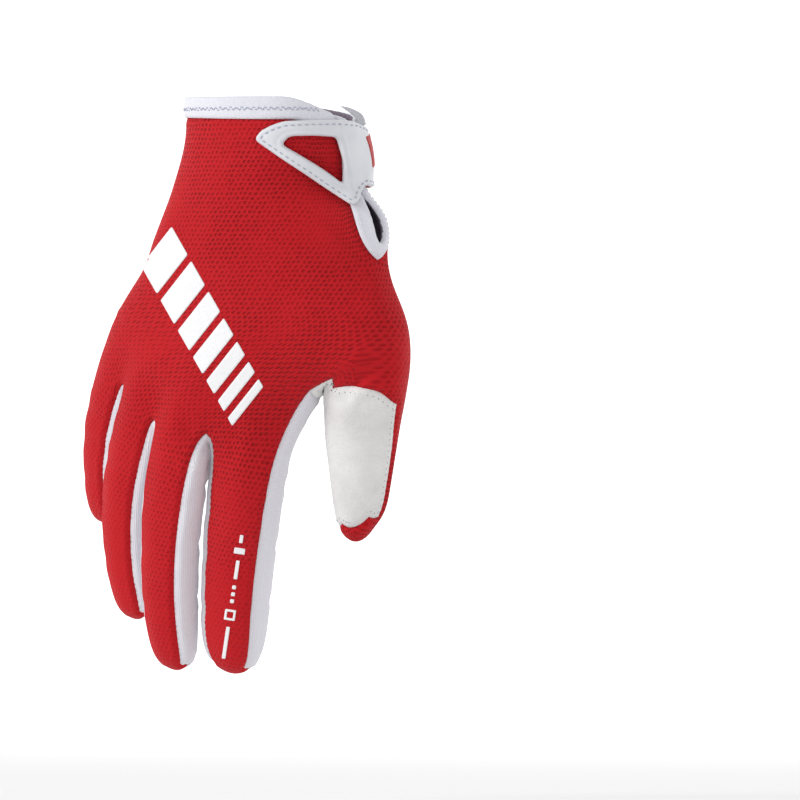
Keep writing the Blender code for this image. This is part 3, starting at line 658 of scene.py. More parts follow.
def add_fingers(cage):
    """Finger tubes, which share their web points with the neighbouring finger."""
    shared = {}
    for finger in FINGERS:
        form = FingerForm(finger)
        for column, place in zip(finger.columns, form.ring(FINGER_SECTIONS[0])):
            shared.setdefault(column, []).append(place)
        for number, section in enumerate(FINGER_SECTIONS[1:], 1):
            for slot, place in zip(RING, form.ring(section)):
                cage.points[finger.name, number, slot] = place
        cage.points[finger.name, "tip"] = form.tip()
        add_finger_faces(cage, finger)
    for column, places in shared.items():
        middle = sum(places, Vector()) / len(places)
        if len(places) == 2:
            middle.z -= WEB_DROP
        cage.points["hand", LAST_ROW, column] = middle


def add_finger_faces(cage, finger):
    thumbward_wall, away_wall = finger.walls
    panels = ("back_panel", thumbward_wall, thumbward_wall, "palm_panel",
              "palm_panel", away_wall, away_wall, "back_panel")
    wrapped = ("back_panel", *[thumbward_wall] * 3, *[away_wall] * 3, "back_panel")

    def name(number, slot):
        if number == 0:
            return "hand", LAST_ROW, finger.columns[slot]
        return finger.name, number, RING[slot]

    count = len(RING)
    for number in range(len(FINGER_SECTIONS) - 1):
        for slot, panel in enumerate(wrapped if number == len(FINGER_SECTIONS) - 2 else panels):
            after = (slot + 1) % count
            cage.add_face(panel, name(number, slot), name(number, after),
                          name(number + 1, after), name(number + 1, slot))
    last = len(FINGER_SECTIONS) - 1
    tip = (finger.name, "tip")
    caps = (("back_panel", 0), (thumbward_wall, 2), (away_wall, 4), ("back_panel", 6))
    for panel, slot in caps:
        cage.add_face(panel, name(last, slot), name(last, slot + 1), name(last, (slot + 2) % count), tip)


def knuckle_loop():
    """The hand's outline at the knuckles, smooth across the webs."""
    loop = {}
    for finger in FINGERS:
        form = FingerForm(finger)
        ring = form.ring(FINGER_SECTIONS[0])
        loop[finger.columns[0]] = ring[0]
        loop[finger.columns[4]] = ring[4] + Vector((0, PALM_PADDING, 0))
        if finger.name == "little":
            for slot in (5, 6, 7):
                loop[finger.columns[slot]] = ring[slot]
    for column in (2, 4, 6, 12, 14, 16):
        loop[column] = (loop[column - 1] + loop[column + 1]) / 2
    return loop


def add_hand(cage):
    """Rows of the hand from the cuff to the finger roots."""
    knuckles = knuckle_loop()
    rim = {(point.row, point.column): point for point in THUMB_RIM}
    for row, palm_row in enumerate(PALM_ROWS):
        for column in range(COLUMNS):
            if (row, column) in rim:
                point = rim[row, column]
                place = (point.across * HAND_SPAN, point.palmward * PALM_DEPTH, -point.along * THUMB_CROTCH)
                cage.points["hand", row, column] = Vector(place)
                continue
            if column in (0, THUMB_SIDE) and THUMB_TOP_ROW < row < THUMB_CROTCH_ROW:
                continue
            if column == 0 and row < SLIT_TIP_ROW:
                continue
            root = knuckles.get(column, Vector((0, 0, -HAND_LENGTH)))
            depth = -root.z * palm_row.along if row > 1 else palm_row.along * HAND_LENGTH
            turn = column_turn(column)
            if column == THUMB_SIDE and row < SLIT_TIP_ROW:
                turn -= SLIT_ROWS[row].turn
            depth += cuff_dip(turn, row)
            swell = THUMB_SIDE_SWELL if column == THUMB_SIDE else 0.0
            place, _ = body_point(turn, depth, swell)
            place.x = lerp(place.x, root.x, palm_row.knuckle)
            place.y = lerp(place.y, root.y, palm_row.knuckle)
            cage.points["hand", row, column] = place
    add_slit_points(cage)
    add_hand_faces(cage)


def cuff_dip(turn, row):
    """The cuff edge sinks toward the slit."""
    away = (turn - SLIT_TURN + 180) % 360 - 180
    reach = CUFF_REACH[0] if away > 0 else CUFF_REACH[1]
    fade = 1 - row / SLIT_TIP_ROW
    return CUFF_DIP * math.exp(-((away / reach) ** 2)) * max(fade, 0)


def add_slit_points(cage):
    """Both edges of the slit, and the outer edges of its binding."""
    for row, slit in enumerate(SLIT_ROWS):
        depth = PALM_ROWS[row].along * HAND_LENGTH + cuff_dip(SLIT_TURN, row) + slit.down
        centre, normal = body_point(SLIT_TURN - slit.turn, depth)
        toward_back = Vector((normal.y, -normal.x, 0))
        half_opening = SLIT_WIDTH / 2 * slit.opening
        edging = SLIT_EDGING * slit.edging
        for side, sign in (("back", 1), ("palm", -1)):
            inner = centre + toward_back * half_opening * sign
            aside = math.degrees((half_opening + edging) / (CUFF_DEPTH / 2))
            cage.points["slit", row, side] = inner
            cage.points["edging", row, side] = body_point(SLIT_TURN - slit.turn + sign * aside, depth)[0]
    cage.points["slit", SLIT_TIP_ROW, "end"] = body_point(SLIT_TURN, SLIT_LENGTH)[0]


def hand_name(row, column, side=None):
    """A hand point's name. The column of the slit has one point for each side of it."""
    if column == 0 and row < SLIT_TIP_ROW:
        return "edging", row, side
    return "hand", row, column


def hand_panel(row, column):
    """The panel of the face between a row and the next and between a column and the next."""
    if row == 0:
        return "cuff_binding"
    if column < LITTLE_SIDE:
        side_wall = row == LAST_ROW - 1 and column == BACK_COLUMNS
        return "sidewall_little" if side_wall else "back_panel"
    if column < INDEX_PALM:
        side_wall = row == LAST_ROW - 1 and column == LITTLE_SIDE
        return "sidewall_little" if side_wall else "palm_panel"
    return "sidewall_index" if row == LAST_ROW - 1 else "back_panel"


def add_hand_faces(cage):
    for row in range(LAST_ROW):
        for column in range(COLUMNS):
            if column >= INDEX_PALM and THUMB_TOP_ROW <= row < THUMB_CROTCH_ROW:
                continue
            after = (column + 1) % COLUMNS
            side = "back" if column == 0 else "palm"
            cage.add_face(hand_panel(row, column), hand_name(row, column, side),
                          hand_name(row + 1, column, side), hand_name(row + 1, after, side),
                          hand_name(row, after, side))
    for row in range(SLIT_TIP_ROW):
        end = row == SLIT_TIP_ROW - 1
        for side in ("back", "palm"):
            inner_next = ("slit", row + 1, "end" if end else side)
            outer_next = hand_name(row + 1, 0, side)
            quad = [("edging", row, side), ("slit", row, side), inner_next, outer_next]
            if side == "palm":
                quad.reverse()
            cage.add_face("slit_binding", *quad)


def add_thumb(cage):
    """The thumb's rings, from its rim on the hand to its tip."""
    for number, section in enumerate(THUMB_SECTIONS):
        tilt = math.radians(section.tilt)
        outward = Vector((math.cos(tilt), 0, math.sin(tilt)))
        centre = Vector((section.across * HAND_SPAN, section.palmward * PALM_DEPTH,
                         -THUMB_CROTCH - section.along * THUMB_LENGTH))
        half_width = section.half_width * THUMB_WIDTH / THUMB_RING_KEPT
        half_depth = section.half_depth * THUMB_DEPTH / THUMB_RING_KEPT
        for slot, angle in enumerate(THUMB_ANGLES):
            turn = math.radians(angle if slot else PAD_SEAM_ANGLES[number])
            place = centre + outward * half_width * math.cos(turn)
            place.y -= half_depth * math.sin(turn)
            place.z += section.back_rise * THUMB_WIDTH * max(math.sin(turn), 0)
            cage.points["thumb", number, slot] = place
    last = THUMB_SECTIONS[-1].along
    depth = THUMB_CROTCH + THUMB_LENGTH * (last + (1 - last) / THUMB_TIP_KEPT)
    tip = (THUMB_TIP_ACROSS * HAND_SPAN, THUMB_TIP_PALMWARD * PALM_DEPTH, -depth)
    cage.points["thumb", "tip"] = Vector(tip)
    for key, down in SEAM_SHIFTS.items():
        cage.points[key].z -= down
    add_thumb_faces(cage)


def thumb_panel(band, slot):
    """White leather lies on the inner side from the rim, and on the back from the second ring."""
    inner_side, pad_start = 3, 2
    white = slot < THUMB_SEAM and (slot >= inner_side or band >= pad_start)
    return "thumb_pad" if white else "back_panel"


def add_thumb_faces(cage):
    count = len(THUMB_ANGLES)

    def name(ring, slot):
        if ring < 0:
            point = THUMB_RIM[slot]
            return "hand", point.row, point.column
        return "thumb", ring, slot

    for band in range(len(THUMB_SECTIONS)):
        for slot in range(count):
            after = (slot + 1) % count
            cage.add_face(thumb_panel(band, slot), name(band - 1, slot), name(band, slot),
                          name(band, after), name(band - 1, after))
    last = len(THUMB_SECTIONS) - 1
    for slot in range(0, count, 2):
        palm_side = 4 <= slot < THUMB_SEAM
        cage.add_face("thumb_pad" if palm_side else "back_panel", name(last, slot), ("thumb", "tip"),
                      name(last, (slot + 2) % count), name(last, slot + 1))


def cloth_places(cage):
    """Where each point of the cage lies on the flat cloth: round the hand, and down it."""
    flat = {}
    middle = BACK_COLUMNS // 2

    def names(row):
        for column in range(COLUMNS):
            for key in (("hand", row, column), ("edging", row, "back"), ("edging", row, "palm")):
                if key in cage.points and (key[0] == "hand" or column == 0):
                    yield column, key

    for row in range(LAST_ROW + 1):
        ring = dict(names(row))
        for step, last in ((1, PALM_FIRST + 3), (-1, PALM_FIRST + 4 - COLUMNS)):
            column, across = middle, 0.0
            place = cage.points[ring[middle]]
            flat[ring[middle]] = (0.0, -place.z)
            while column != last:
                column += step
                key = ring.get(column % COLUMNS)
                if key is None:
                    continue
                across -= step * (cage.points[key] - place).length
                place = cage.points[key]
                flat[key] = (across, -place.z)
    for row in range(SLIT_TIP_ROW + 1):
        for side in ("back", "palm"):
            outer = flat.get(("edging", row, "palm")) or flat.get(("hand", row, 0))
            for key in (("edging", row, side), ("slit", row, side), ("slit", row, "end")):
                if key in cage.points:
                    flat.setdefault(key, outer)
    for finger in FINGERS:
        root = flat["hand", LAST_ROW, finger.columns[0]]
        for number, section in enumerate(FINGER_SECTIONS[1:], 1):
            ring = [cage.points[finger.name, number, slot] for slot in RING]
            down = root[1] + section.along * finger.length
            around = 0.0
            for slot in range(5):
                flat[finger.name, number, RING[slot]] = (root[0] + around, down)
                around += (ring[slot + 1] - ring[slot]).length
            around = 0.0
            for slot in (7, 6, 5):
                around -= (ring[slot] - ring[(slot + 1) % len(RING)]).length
                flat[finger.name, number, RING[slot]] = (root[0] + around, down)
        flat[finger.name, "tip"] = (root[0], root[1] + finger.length)
    for slot, point in enumerate(THUMB_RIM):
        key = ("hand", point.row, point.column)
        away = 1 if slot <= 4 else -1
        for number in range(len(THUMB_SECTIONS)):
            step = cage.points["thumb", number, slot] - cage.points[key]
            flat["thumb", number, slot] = (flat[key][0] + step.x * away, flat[key][1] - step.z)
    tip = cage.points["thumb", "tip"]
    flat["thumb", "tip"] = (flat["thumb", len(THUMB_SECTIONS) - 1, 0][0], -tip.z)
    return flat


def face_places(flat, points, keys):
    """A face's corners on the flat cloth, all on one side where the cloth's ends meet inside it."""
    places = [flat.get(key, (0.0, -points[key].z)) for key in keys]
    if any(key[0] not in [finger.name for finger in FINGERS] for key in keys):
        return places
    mended = list(places)
    for number, key in enumerate(keys):
        reach = (points[key] - points[keys[number - 1]]).length
        apart = places[number][0] - places[number - 1][0]
        if abs(apart) > CLOTH_BREAK * reach:
            far, near = (number, number - 1) if apart > 0 else (number - 1, number)
            mended[far] = (places[near][0] - reach, places[far][1])
    return mended


def add_object(name, data):
    made = bpy.data.objects.new(name, data)
    bpy.context.scene.collection.objects.link(made)
    return made


def smoothstep(low, high, value):
    share = np.clip((value - low) / (high - low), 0, 1)
    return share * share * (3 - 2 * share)


def bell(value, width):
    return np.exp(-((value / width) ** 2))


def round_edge(depth, width):
    """How high a round edge stands at a depth inside it, as a share of its full height."""
    return np.sqrt(1 - (1 - np.clip(depth / width, 0, 1)) ** 2)


def arc_lengths(points):
    """How far along a line each of its points lies."""
    return np.concatenate(([0], np.cumsum(np.linalg.norm(np.diff(points, axis=0), axis=1))))


def at_lengths(points, along, spots):
    """A line's points at some distances along it."""
    return np.stack([np.interp(spots, along, column) for column in points.T], axis=1)


def resample(path, step):
    along = arc_lengths(path)
    return at_lengths(path, along, np.arange(0, along[-1], step))


def read_array(items, attribute, width, kind=float):
    values = np.empty(len(items) * width, dtype=kind)
    items.foreach_get(attribute, values)
    return values.reshape(-1, width) if width > 1 else values


class FineForm:
    """The glove's form smoothed finely: places, normals, panels, seams and cloth coordinates."""

    def __init__(self, cage):
        form = add_object("form", cage.to_mesh("form"))
        smooth = form.modifiers.new("Smooth form", "SUBSURF")
        smooth.levels = smooth.render_levels = FINE_LEVELS
        mesh = form.evaluated_get(bpy.context.evaluated_depsgraph_get()).to_mesh()
        self.places = read_array(mesh.vertices, "co", 3)
        self.normals = read_array(mesh.vertices, "normal", 3)
        self.faces = read_array(mesh.loops, "vertex_index", 1, int).reshape(-1, 4)
        self.panels = read_array(mesh.polygons, "material_index", 1, int)
        self.cloth = read_array(mesh.uv_layers["cloth"].data, "uv", 2).reshape(-1, 4, 2)
        self.find_seams(read_array(mesh.edges, "vertices", 2, int),
                        read_array(mesh.loops, "edge_index", 1, int))
        form.to_mesh_clear()
        bpy.data.objects.remove(form)

    def find_seams(self, edges, loop_edges):
        """Edges between two panels, or with one face, and how far along its seam each starts."""
        faces_of_loops = np.repeat(self.panels, 4)
        order = np.argsort(loop_edges, kind="stable")
        counts = np.bincount(loop_edges, minlength=len(edges))
        first = np.concatenate(([0], np.cumsum(counts)[:-1]))
        one = faces_of_loops[order[first]]
        other = np.where(counts == 2, faces_of_loops[order[np.minimum(first + 1, len(order) - 1)]], -1)
        pairs = defaultdict(list)
        for edge in np.flatnonzero(one != other):
            pair = tuple(sorted((int(one[edge]), int(other[edge]))))
            pairs[pair].append(tuple(int(end) for end in edges[edge]))
        self.seam_runs = {pair: self.runs(ends) for pair, ends in pairs.items()}

    def runs(self, edges):
        """Edges joined end to end: lists of vertices in order."""
        beside = defaultdict(list)
        for start, end in edges:
            beside[start].append(end)
            beside[end].append(start)
        left = {frozenset(edge) for edge in edges}
        starts = [vert for vert in beside if len(beside[vert]) != 2] + list(beside)
        runs = []
        for start in starts:
            while any(frozenset((start, near)) in left for near in beside[start]):
                run = [start]
                while True:
                    nearby = [near for near in beside[run[-1]] if frozenset((run[-1], near)) in left]
                    if not nearby:
                        break
                    left.remove(frozenset((run[-1], nearby[0])))
                    run.append(nearby[0])
                runs.append(run)
        return runs

    def seam_samples(self, wanted):
        """Points close together along the seams whose pair is wanted, and how far along each lies."""
        places, arcs, fades = [], [], []
        for pair, runs in self.seam_runs.items():
            if not wanted(pair):
                continue
            for run in runs:
                points = self.places[run]
                along = arc_lengths(points)
                fine = np.linspace(0, along[-1], max(int(along[-1] / SEAM_SAMPLE), 2))
                places.append(at_lengths(points, along, fine))
                arcs.append(fine)
                fades.append(smoothstep(0, SEAM_FADE, np.minimum(fine, along[-1] - fine)))
        if not places:
            return None
        return np.concatenate(places), np.stack((np.concatenate(arcs), np.concatenate(fades)), axis=1)

    def seam_distance(self, verts, wanted):
        """How far from each vertex the nearest wanted seam is, where along it, and its puckers' share."""
        far = np.full(len(verts), FAR)
        samples = self.seam_samples(wanted)
        if samples is None:
            return far, np.zeros((len(verts), 2))
        places, arcs = samples
        tree = KDTree(len(places))
        for number, place in enumerate(places):
            tree.insert(place, number)
        tree.balance()
        found = [tree.find(place)[1:] for place in self.places[verts]]
        return np.array([distance for _, distance in found]), arcs[[number for number, _ in found]]


def view_axes(azimuth):
    """The directions to the right and back toward a camera that stands level at an azimuth."""
    turn = math.radians(azimuth)
    return np.array((math.cos(turn), math.sin(turn), 0)), np.array((math.sin(turn), -math.cos(turn), 0))


VIEWS = {"back": (view_axes(BACK_VIEW), 1), "palm": (view_axes(PALM_VIEW), -1)}


def in_view(places, view):
    """Places as seen level from the back or from the palm: across and down, in metres.

    Across runs toward the thumb in both views, so the palm's is seen from behind."""
    (right, _), sign = VIEWS[view]
    return np.stack((places @ right * sign, -places[:, 2]), axis=1)


def line_distance(points, line):
    """How far each flat point is from a line, and where along the line its nearest place is, 0 to 1."""
    line = np.asarray(line, dtype=float)
    starts = arc_lengths(line)
    best = np.full(len(points), np.inf)
    along = np.zeros(len(points))
    for number in range(len(line) - 1):
        step = line[number + 1] - line[number]
        share = np.clip((points - line[number]) @ step / (step @ step), 0, 1)
        distance = np.linalg.norm(points - line[number] - share[:, None] * step, axis=1)
        nearer = distance < best
        best = np.where(nearer, distance, best)
        along = np.where(nearer, lerp(starts[number], starts[number + 1], share) / starts[-1], along)
    return best, along


def rounded_line(points):
    """A smooth line through given points."""
    steps = 8
    points = np.asarray(points, dtype=float)
    before = np.vstack((2 * points[0] - points[1], points[:-1]))
    after = np.vstack((points[1:], 2 * points[-1] - points[-2]))
    slopes = (after - before) / 2
    shares = np.linspace(0, 1, steps, endpoint=False)[:, None]
    line = []
    for start, end, leave, arrive in zip(points, points[1:], slopes, slopes[1:]):
        line.append((2 * shares**3 - 3 * shares**2 + 1) * start + (3 * shares**2 - 2 * shares**3) * end
                    + (shares**3 - 2 * shares**2 + shares) * leave + (shares**3 - shares**2) * arrive)
    return np.vstack([*line, points[-1:]])


def fold_lift(form):
    """How far each vertex is raised by the folds, the creases of the fingers and the uneven cloth."""
    lift = np.zeros(len(form.places))
    for fold in FOLDS:
        (_, back), _ = VIEWS[fold.view]
        facing = smoothstep(*FOLD_FACING, form.normals @ back)
        distance, along = line_distance(in_view(form.places, fold.view), rounded_line(fold.line) * MM)
        width = fold.width * MM
        fade = np.sin(np.pi * np.clip(along, FOLD_END, 1 - FOLD_END)) ** FOLD_FADE
        ridge = FOLD_RIDGE * bell(distance - FOLD_RIDGE_PLACE * width, width)
        lift -= fold.depth * MM * facing * fade * (bell(distance, width) - ridge)
    lift += finger_lift(form) - cinch(form)
    for size, height in UNEVEN:
        lift += height * np.array([noise.noise(Vector(place) / size) for place in form.places])
    return lift


def cinch(form):
    """How far the tight strap draws the wrist in beside the slit."""
    x, y, z = form.places.T
    away = np.degrees(np.arctan2(-y, x)) - SLIT_TURN
    middle, spread = CINCH_PLACE
    return CINCH_DEPTH * bell(-z - middle, spread) * bell(away, CINCH_REACH)


def finger_lift(form):
    """Creases across the fingers at their joints, and soft ripples between them."""
    lift = np.zeros(len(form.places))
    below = form.places[:, 2] < -THUMB_CROTCH
    for finger in FINGERS:
        shape = FingerForm(finger)
        line = np.array([place[:] for place in shape.line])
        near = np.flatnonzero(below)
        offsets = form.places[near, None] - line[None]
        distances = np.linalg.norm(offsets, axis=2)
        step = distances.argmin(axis=1)
        reach = distances.min(axis=1)
        on_finger = smoothstep(*CREASE_REACH, reach / (FINGER_WIDTH * finger.girth))
        along = step / shape.STEPS
        axes = [shape.axes(number / shape.STEPS) for number in range(shape.STEPS + 1)]
        backs = np.array([back[:] for _, back, _ in axes])[step]
        headings = np.array([heading[:] for _, _, heading in axes])[step]
        offset = offsets[np.arange(len(near)), step]
        along = along + np.einsum("ij,ij->i", offset, headings) / finger.length
        facing = np.einsum("ij,ij->i", form.normals[near], backs)
        for crease in FINGER_CREASES:
            side = smoothstep(*CREASE_FACING, facing * crease.side)
            gap = (along - crease.along) * finger.length
            valley = bell(gap, crease.width)
            swell = CREASE_SWELL * bell(np.abs(gap) - 2 * crease.width, crease.width)
            lift[near] -= crease.depth * on_finger * side * (valley - swell)
    return lift


def seam_lift(distance, arc, style):
    """A seam's groove, with the puckers that its stitches pull."""
    along, share = arc.T
    pucker = 1 + style.pucker * share * np.sin(2 * np.pi * along / style.pitch)
    swell = style.depth * SEAM_SWELL * bell(distance - SEAM_SWELL_PLACE * style.width, style.width)
    return swell - style.depth * pucker * bell(distance, style.width)


def panel_lift(form, panel, verts):
    """How far a panel's own vertices are raised, and how far its inner side is drawn in at a free edge."""
    number = PANEL_NUMBERS[panel.name]
    bindings = {PANEL_NUMBERS[name] for name in BINDINGS}
    half = panel.wall / 2
    open_distance, _ = form.seam_distance(verts, lambda pair: pair == (-1, number))
    drawn_in = half * (1 - round_edge(open_distance, half))
    lift = -drawn_in
    for bound, style in ((True, BOUND), (False, STYLES[panel.look])):
        distance, arc = form.seam_distance(
            verts, lambda pair: number in pair and -1 not in pair and bool(bindings & set(pair)) == bound)
        if panel.name not in BINDINGS:
            lift += seam_lift(distance, arc, style)
        elif bound:
            lift += (BINDING_RISE + BINDING_PILLOW) * round_edge(distance, BINDING_ROLL)
    return lift, drawn_in


def free_corners(quads):
    """The corners of some faces at which an edge without a twin starts."""
    starts, ends = quads.ravel().tolist(), np.roll(quads, -1, axis=1).ravel().tolist()
    twins = set(zip(ends, starts))
    return [corner for corner, pair in enumerate(zip(starts, ends)) if pair not in twins]


def two_sided(quads, count):
    """Faces of a sheet's outer side, of its inner side, count points on, and of the edge between."""
    starts, ends = quads.ravel().tolist(), np.roll(quads, -1, axis=1).ravel().tolist()
    edge = [(ends[corner], starts[corner], starts[corner] + count, ends[corner] + count)
            for corner in free_corners(quads)]
    return [*quads.tolist(), *(quads[:, ::-1] + count).tolist(), *edge]


def panel_piece(form, panel, lift):
    """A panel's outer side, its lining side and the edge between them."""
    number = PANEL_NUMBERS[panel.name]
    own = form.panels == number
    verts, faces = np.unique(form.faces[own], return_inverse=True)
    faces = faces.reshape(-1, 4)
    normals = form.normals[verts]
    raised, drawn_in = panel_lift(form, panel, verts)
    outer = form.places[verts] + normals * (lift[verts] + raised)[:, None]
    inner_lift = lift[verts] - panel.wall + drawn_in
    if panel.name in BINDINGS:
        inner_lift += BINDING_RISE
    inner = form.places[verts] + normals * inner_lift[:, None]
    polygons = two_sided(faces, len(verts))
    cloth = np.zeros((len(verts), 2))
    cloth[faces.ravel()] = form.cloth[own].reshape(-1, 2)
    # The inner side is coloured dark as painted shade of the glove's hollow.
    piece = new_piece(panel.name + "_sewn", np.vstack((outer, inner)), polygons,
                      (LOOKS[panel.look], LOOKS["lining"]), np.vstack((cloth, cloth)))
    sides = np.zeros(len(polygons), dtype=int)
    sides[len(faces):2 * len(faces)] = 1
    piece.data.polygons.foreach_set("material_index", sides)
    keep(piece, panel.slot, panel.name)
    return piece


def new_piece(name, places, polygons, looks, cloth=None):
    mesh = bpy.data.meshes.new(name)
    mesh.from_pydata(places.tolist(), [], polygons)
    for look in looks:
        mesh.materials.append(look)
    if cloth is not None:
        corners = read_array(mesh.loops, "vertex_index", 1, int)
        mesh.uv_layers.new(name="cloth").data.foreach_set("uv", cloth[corners].ravel())
    mesh.shade_smooth()
    return add_object(name, mesh)


def keep(piece, slot, *nodes):
    """A piece of the glove rides on its one body, and may stand for some of its solids."""
    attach(piece, "root")
    if nodes:
        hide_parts(*nodes)


def skin_tree(pieces):
    """The outer surface of some pieces, to lay other pieces on."""
    places, polygons = [], []
    for piece in pieces:
        start = len(places)
        places += [vert.co.copy() for vert in piece.data.vertices]
        polygons += [[corner + start for corner in face.vertices] for face in piece.data.polygons]
    return BVHTree.FromPolygons(places, polygons)


def cast(skin, place, normal, ray):
    """Where a ray from above a place meets a surface, and the surface's normal there."""
    above, reach = ray
    return skin.ray_cast(place + normal * above, -normal, reach)[:2]


def on_skin(skin, view, points):
    """Flat points of a view, laid on the glove: places and normals, None where they miss it."""
    (right, back), sign = VIEWS[view]
    back = Vector(back)
    found = []
    for across, down in points:
        start = Vector(right) * across * sign + Vector((0, 0, -down)) + back * VIEW_REACH
        place, normal, _, _ = skin.ray_cast(start, -back)
        found.append(None if place is None else (place, normal))
    return found


def cut_plate(outline, windows, step):
    """A flat grid cut to an outline and its windows: points, faces and each point's depth inside."""
    low, high = outline.min(axis=0) - step, outline.max(axis=0) + step
    counts = np.ceil((high - low) / step).astype(int)
    across = low[0] + np.arange(counts[0] + 1) * step
    down = low[1] + np.arange(counts[1] + 1) * step
    points = np.stack(np.meshgrid(across, down, indexing="ij"), axis=-1).reshape(-1, 2)

    def depth(spots):
        inside = edge_depth(spots, outline)
        for window in windows:
            inside = np.minimum(inside, -edge_depth(spots, window))
        return inside

    number = np.arange(len(points)).reshape(counts + 1)
    corners = number[:-1, :-1], number[1:, :-1], number[1:, 1:], number[:-1, 1:]
    quads = np.stack(corners, axis=-1).reshape(-1, 4)
    quads = quads[depth(points[quads].mean(axis=1)) > 0]
    used, quads = np.unique(quads, return_inverse=True)
    points, quads = points[used], quads.reshape(-1, 4)
    edge = set(quads.ravel()[np.isin(np.arange(quads.size), free_corners(quads))].tolist())
    edge = np.array(sorted(edge))
    nudge = step * 0.01
    for _ in range(3):
        spots = points[edge]
        slope = np.stack([(depth(spots + shift) - depth(spots - shift)) / (2 * nudge)
                          for shift in (np.array((nudge, 0)), np.array((0, nudge)))], axis=1)
        slope /= np.maximum(np.linalg.norm(slope, axis=1), 0.2)[:, None]
        points[edge] -= slope * depth(spots)[:, None]
    inside = np.maximum(depth(points), 0)
    inside[edge] = 0
    return points, quads, inside


def edge_depth(points, outline):
    """How far inside a closed outline each point lies, below 0 outside it."""
    closed = np.vstack((outline, outline[:1]))
    distance, _ = line_distance(points, closed)
    inside = np.zeros(len(points), dtype=bool)
    for start, end in zip(closed, closed[1:]):
        if start[1] == end[1]:
            continue
        crosses = (start[1] > points[:, 1]) != (end[1] > points[:, 1])
        inside ^= crosses & (points[:, 0] < (end[0] - start[0]) * (points[:, 1] - start[1])
                             / (end[1] - start[1]) + start[0])
    return np.where(inside, distance, -distance)


def round_corners(corners, radius, steps=6):
    """A closed outline through corners, each turned with an arc as wide as its sides allow."""
    corners = np.asarray(corners, dtype=float)
    outline = []
    for before, corner, after in zip(np.roll(corners, 1, axis=0), corners, np.roll(corners, -1, axis=0)):
        back, on = before - corner, after - corner
        reach = min(radius, np.linalg.norm(back) * 0.45, np.linalg.norm(on) * 0.45)
        start = corner + back / np.linalg.norm(back) * reach
        end = corner + on / np.linalg.norm(on) * reach
        for share in np.linspace(0, 1, steps):
            outline.append((1 - share) ** 2 * start + 2 * share * (1 - share) * corner + share**2 * end)
    return np.array(outline)


def plate_piece(name, plate, seat, thickness, look, slot, nodes=()):
    """A cut plate laid on the glove: its outer side, its underside and its edge."""
    points, quads, inside = plate
    seats = seat(points)
    base = np.array([place[:] for place, _ in seats])
    normals = np.array([normal[:] for _, normal in seats])
    outer = base + normals * thickness(inside, points)[:, None]
    piece = new_piece(name, np.vstack((outer, base)), two_sided(quads, len(points)), (LOOKS[look],),
                      np.vstack((points, points)))
    mend_sides(piece)
    keep(piece, slot, *nodes)
    return piece


def mend_sides(piece):
    """Every face of a closed piece turned to face outward, and stray points dropped."""
    bm = bmesh.new()
    bm.from_mesh(piece.data)
    bmesh.ops.delete(bm, geom=[vert for vert in bm.verts if not vert.link_faces], context="VERTS")
    bmesh.ops.recalc_face_normals(bm, faces=bm.faces)
    bm.to_mesh(piece.data)
    bm.free()


class WristSeat:
    """The surface that the strap lies on: the wrist with its seams and slit bridged."""

    STARTS = (-130, 0.0)
    ENDS = (95, 46.0)
    STEPS = (1.0, 0.5)
    REACH = 0.006

    def __init__(self, skin):
        turns, depths = (np.arange(*span) for span in zip(self.STARTS, self.ENDS, self.STEPS))
        above = self.REACH * 4
        lifts = np.full((len(turns), len(depths)), -self.REACH)
        for column, turn in enumerate(turns):
            for row, depth in enumerate(depths):
                place, normal = body_point(turn, depth * MM)
                hit, _, _, distance = skin.ray_cast(place + normal * above, -normal)
                if hit is not None and distance < above + self.REACH:
                    lifts[column, row] = above - distance
        spreads = [int(STRAP_BRIDGES / size) for size in (STRAP_MM_PER_DEGREE * self.STEPS[0], self.STEPS[1])]
        for axis, spread in enumerate(spreads):
            lifts = self.windows(lifts, axis, spread).max(axis=-1)
        for axis, spread in enumerate(spreads):
            weights = np.hanning(2 * spread + 3)[1:-1]
            lifts = self.windows(lifts, axis, spread) @ (weights / weights.sum())
        self.lifts = lifts + SEAT_CLEARANCE

    def windows(self, lifts, axis, spread):
        """The values on both sides of each value, along one axis."""
        padded = np.pad(lifts, [(spread, spread) if side == axis else (0, 0) for side in (0, 1)], "edge")
        return np.lib.stride_tricks.sliding_window_view(padded, 2 * spread + 1, axis)

    def __call__(self, points):
        """Places and normals of points of the strap's chart, in millimetres."""
        seats = []
        for across, depth in points:
            turn = across / STRAP_MM_PER_DEGREE
            column, row = (min(max((value - start) / step, 0), count - 1.001) for value, start, step, count
                           in zip((turn, depth), self.STARTS, self.STEPS, self.lifts.shape))
            left, top = int(column), int(row)
            near = self.lifts[left:left + 2, top:top + 2]
            lift = lerp(*(lerp(*side, row - top) for side in near), column - left)
            seats.append(body_point(turn, depth * MM, lift))
        return seats


def strap_chart(corners):
    return np.array([(turn * STRAP_MM_PER_DEGREE, depth) for turn, depth in corners])


def inset_path(outline, inset):
    """The line that runs inside a closed outline, as far in from it everywhere."""
    closed = np.vstack((outline, outline[:1]))
    path = resample(closed, 0.3)
    tangents = np.roll(path, -1, axis=0) - np.roll(path, 1, axis=0)
    tangents /= np.linalg.norm(tangents, axis=1)[:, None]
    inward = np.stack((-tangents[:, 1], tangents[:, 0]), axis=1)
    if edge_depth(path + inward * inset, outline).mean() < 0:
        inward = -inward
    moved = path + inward * inset
    return moved[edge_depth(moved, outline) > inset * 0.93]


def tube_faces(first, rings, sides):
    """Faces that join rings of points, which are numbered on from a first one."""
    faces = []
    for one in range(first, first + (rings - 1) * sides, sides):
        for side in range(sides):
            after = (side + 1) % sides
            faces.append((one + side, one + sides + side, one + sides + after, one + after))
    return faces


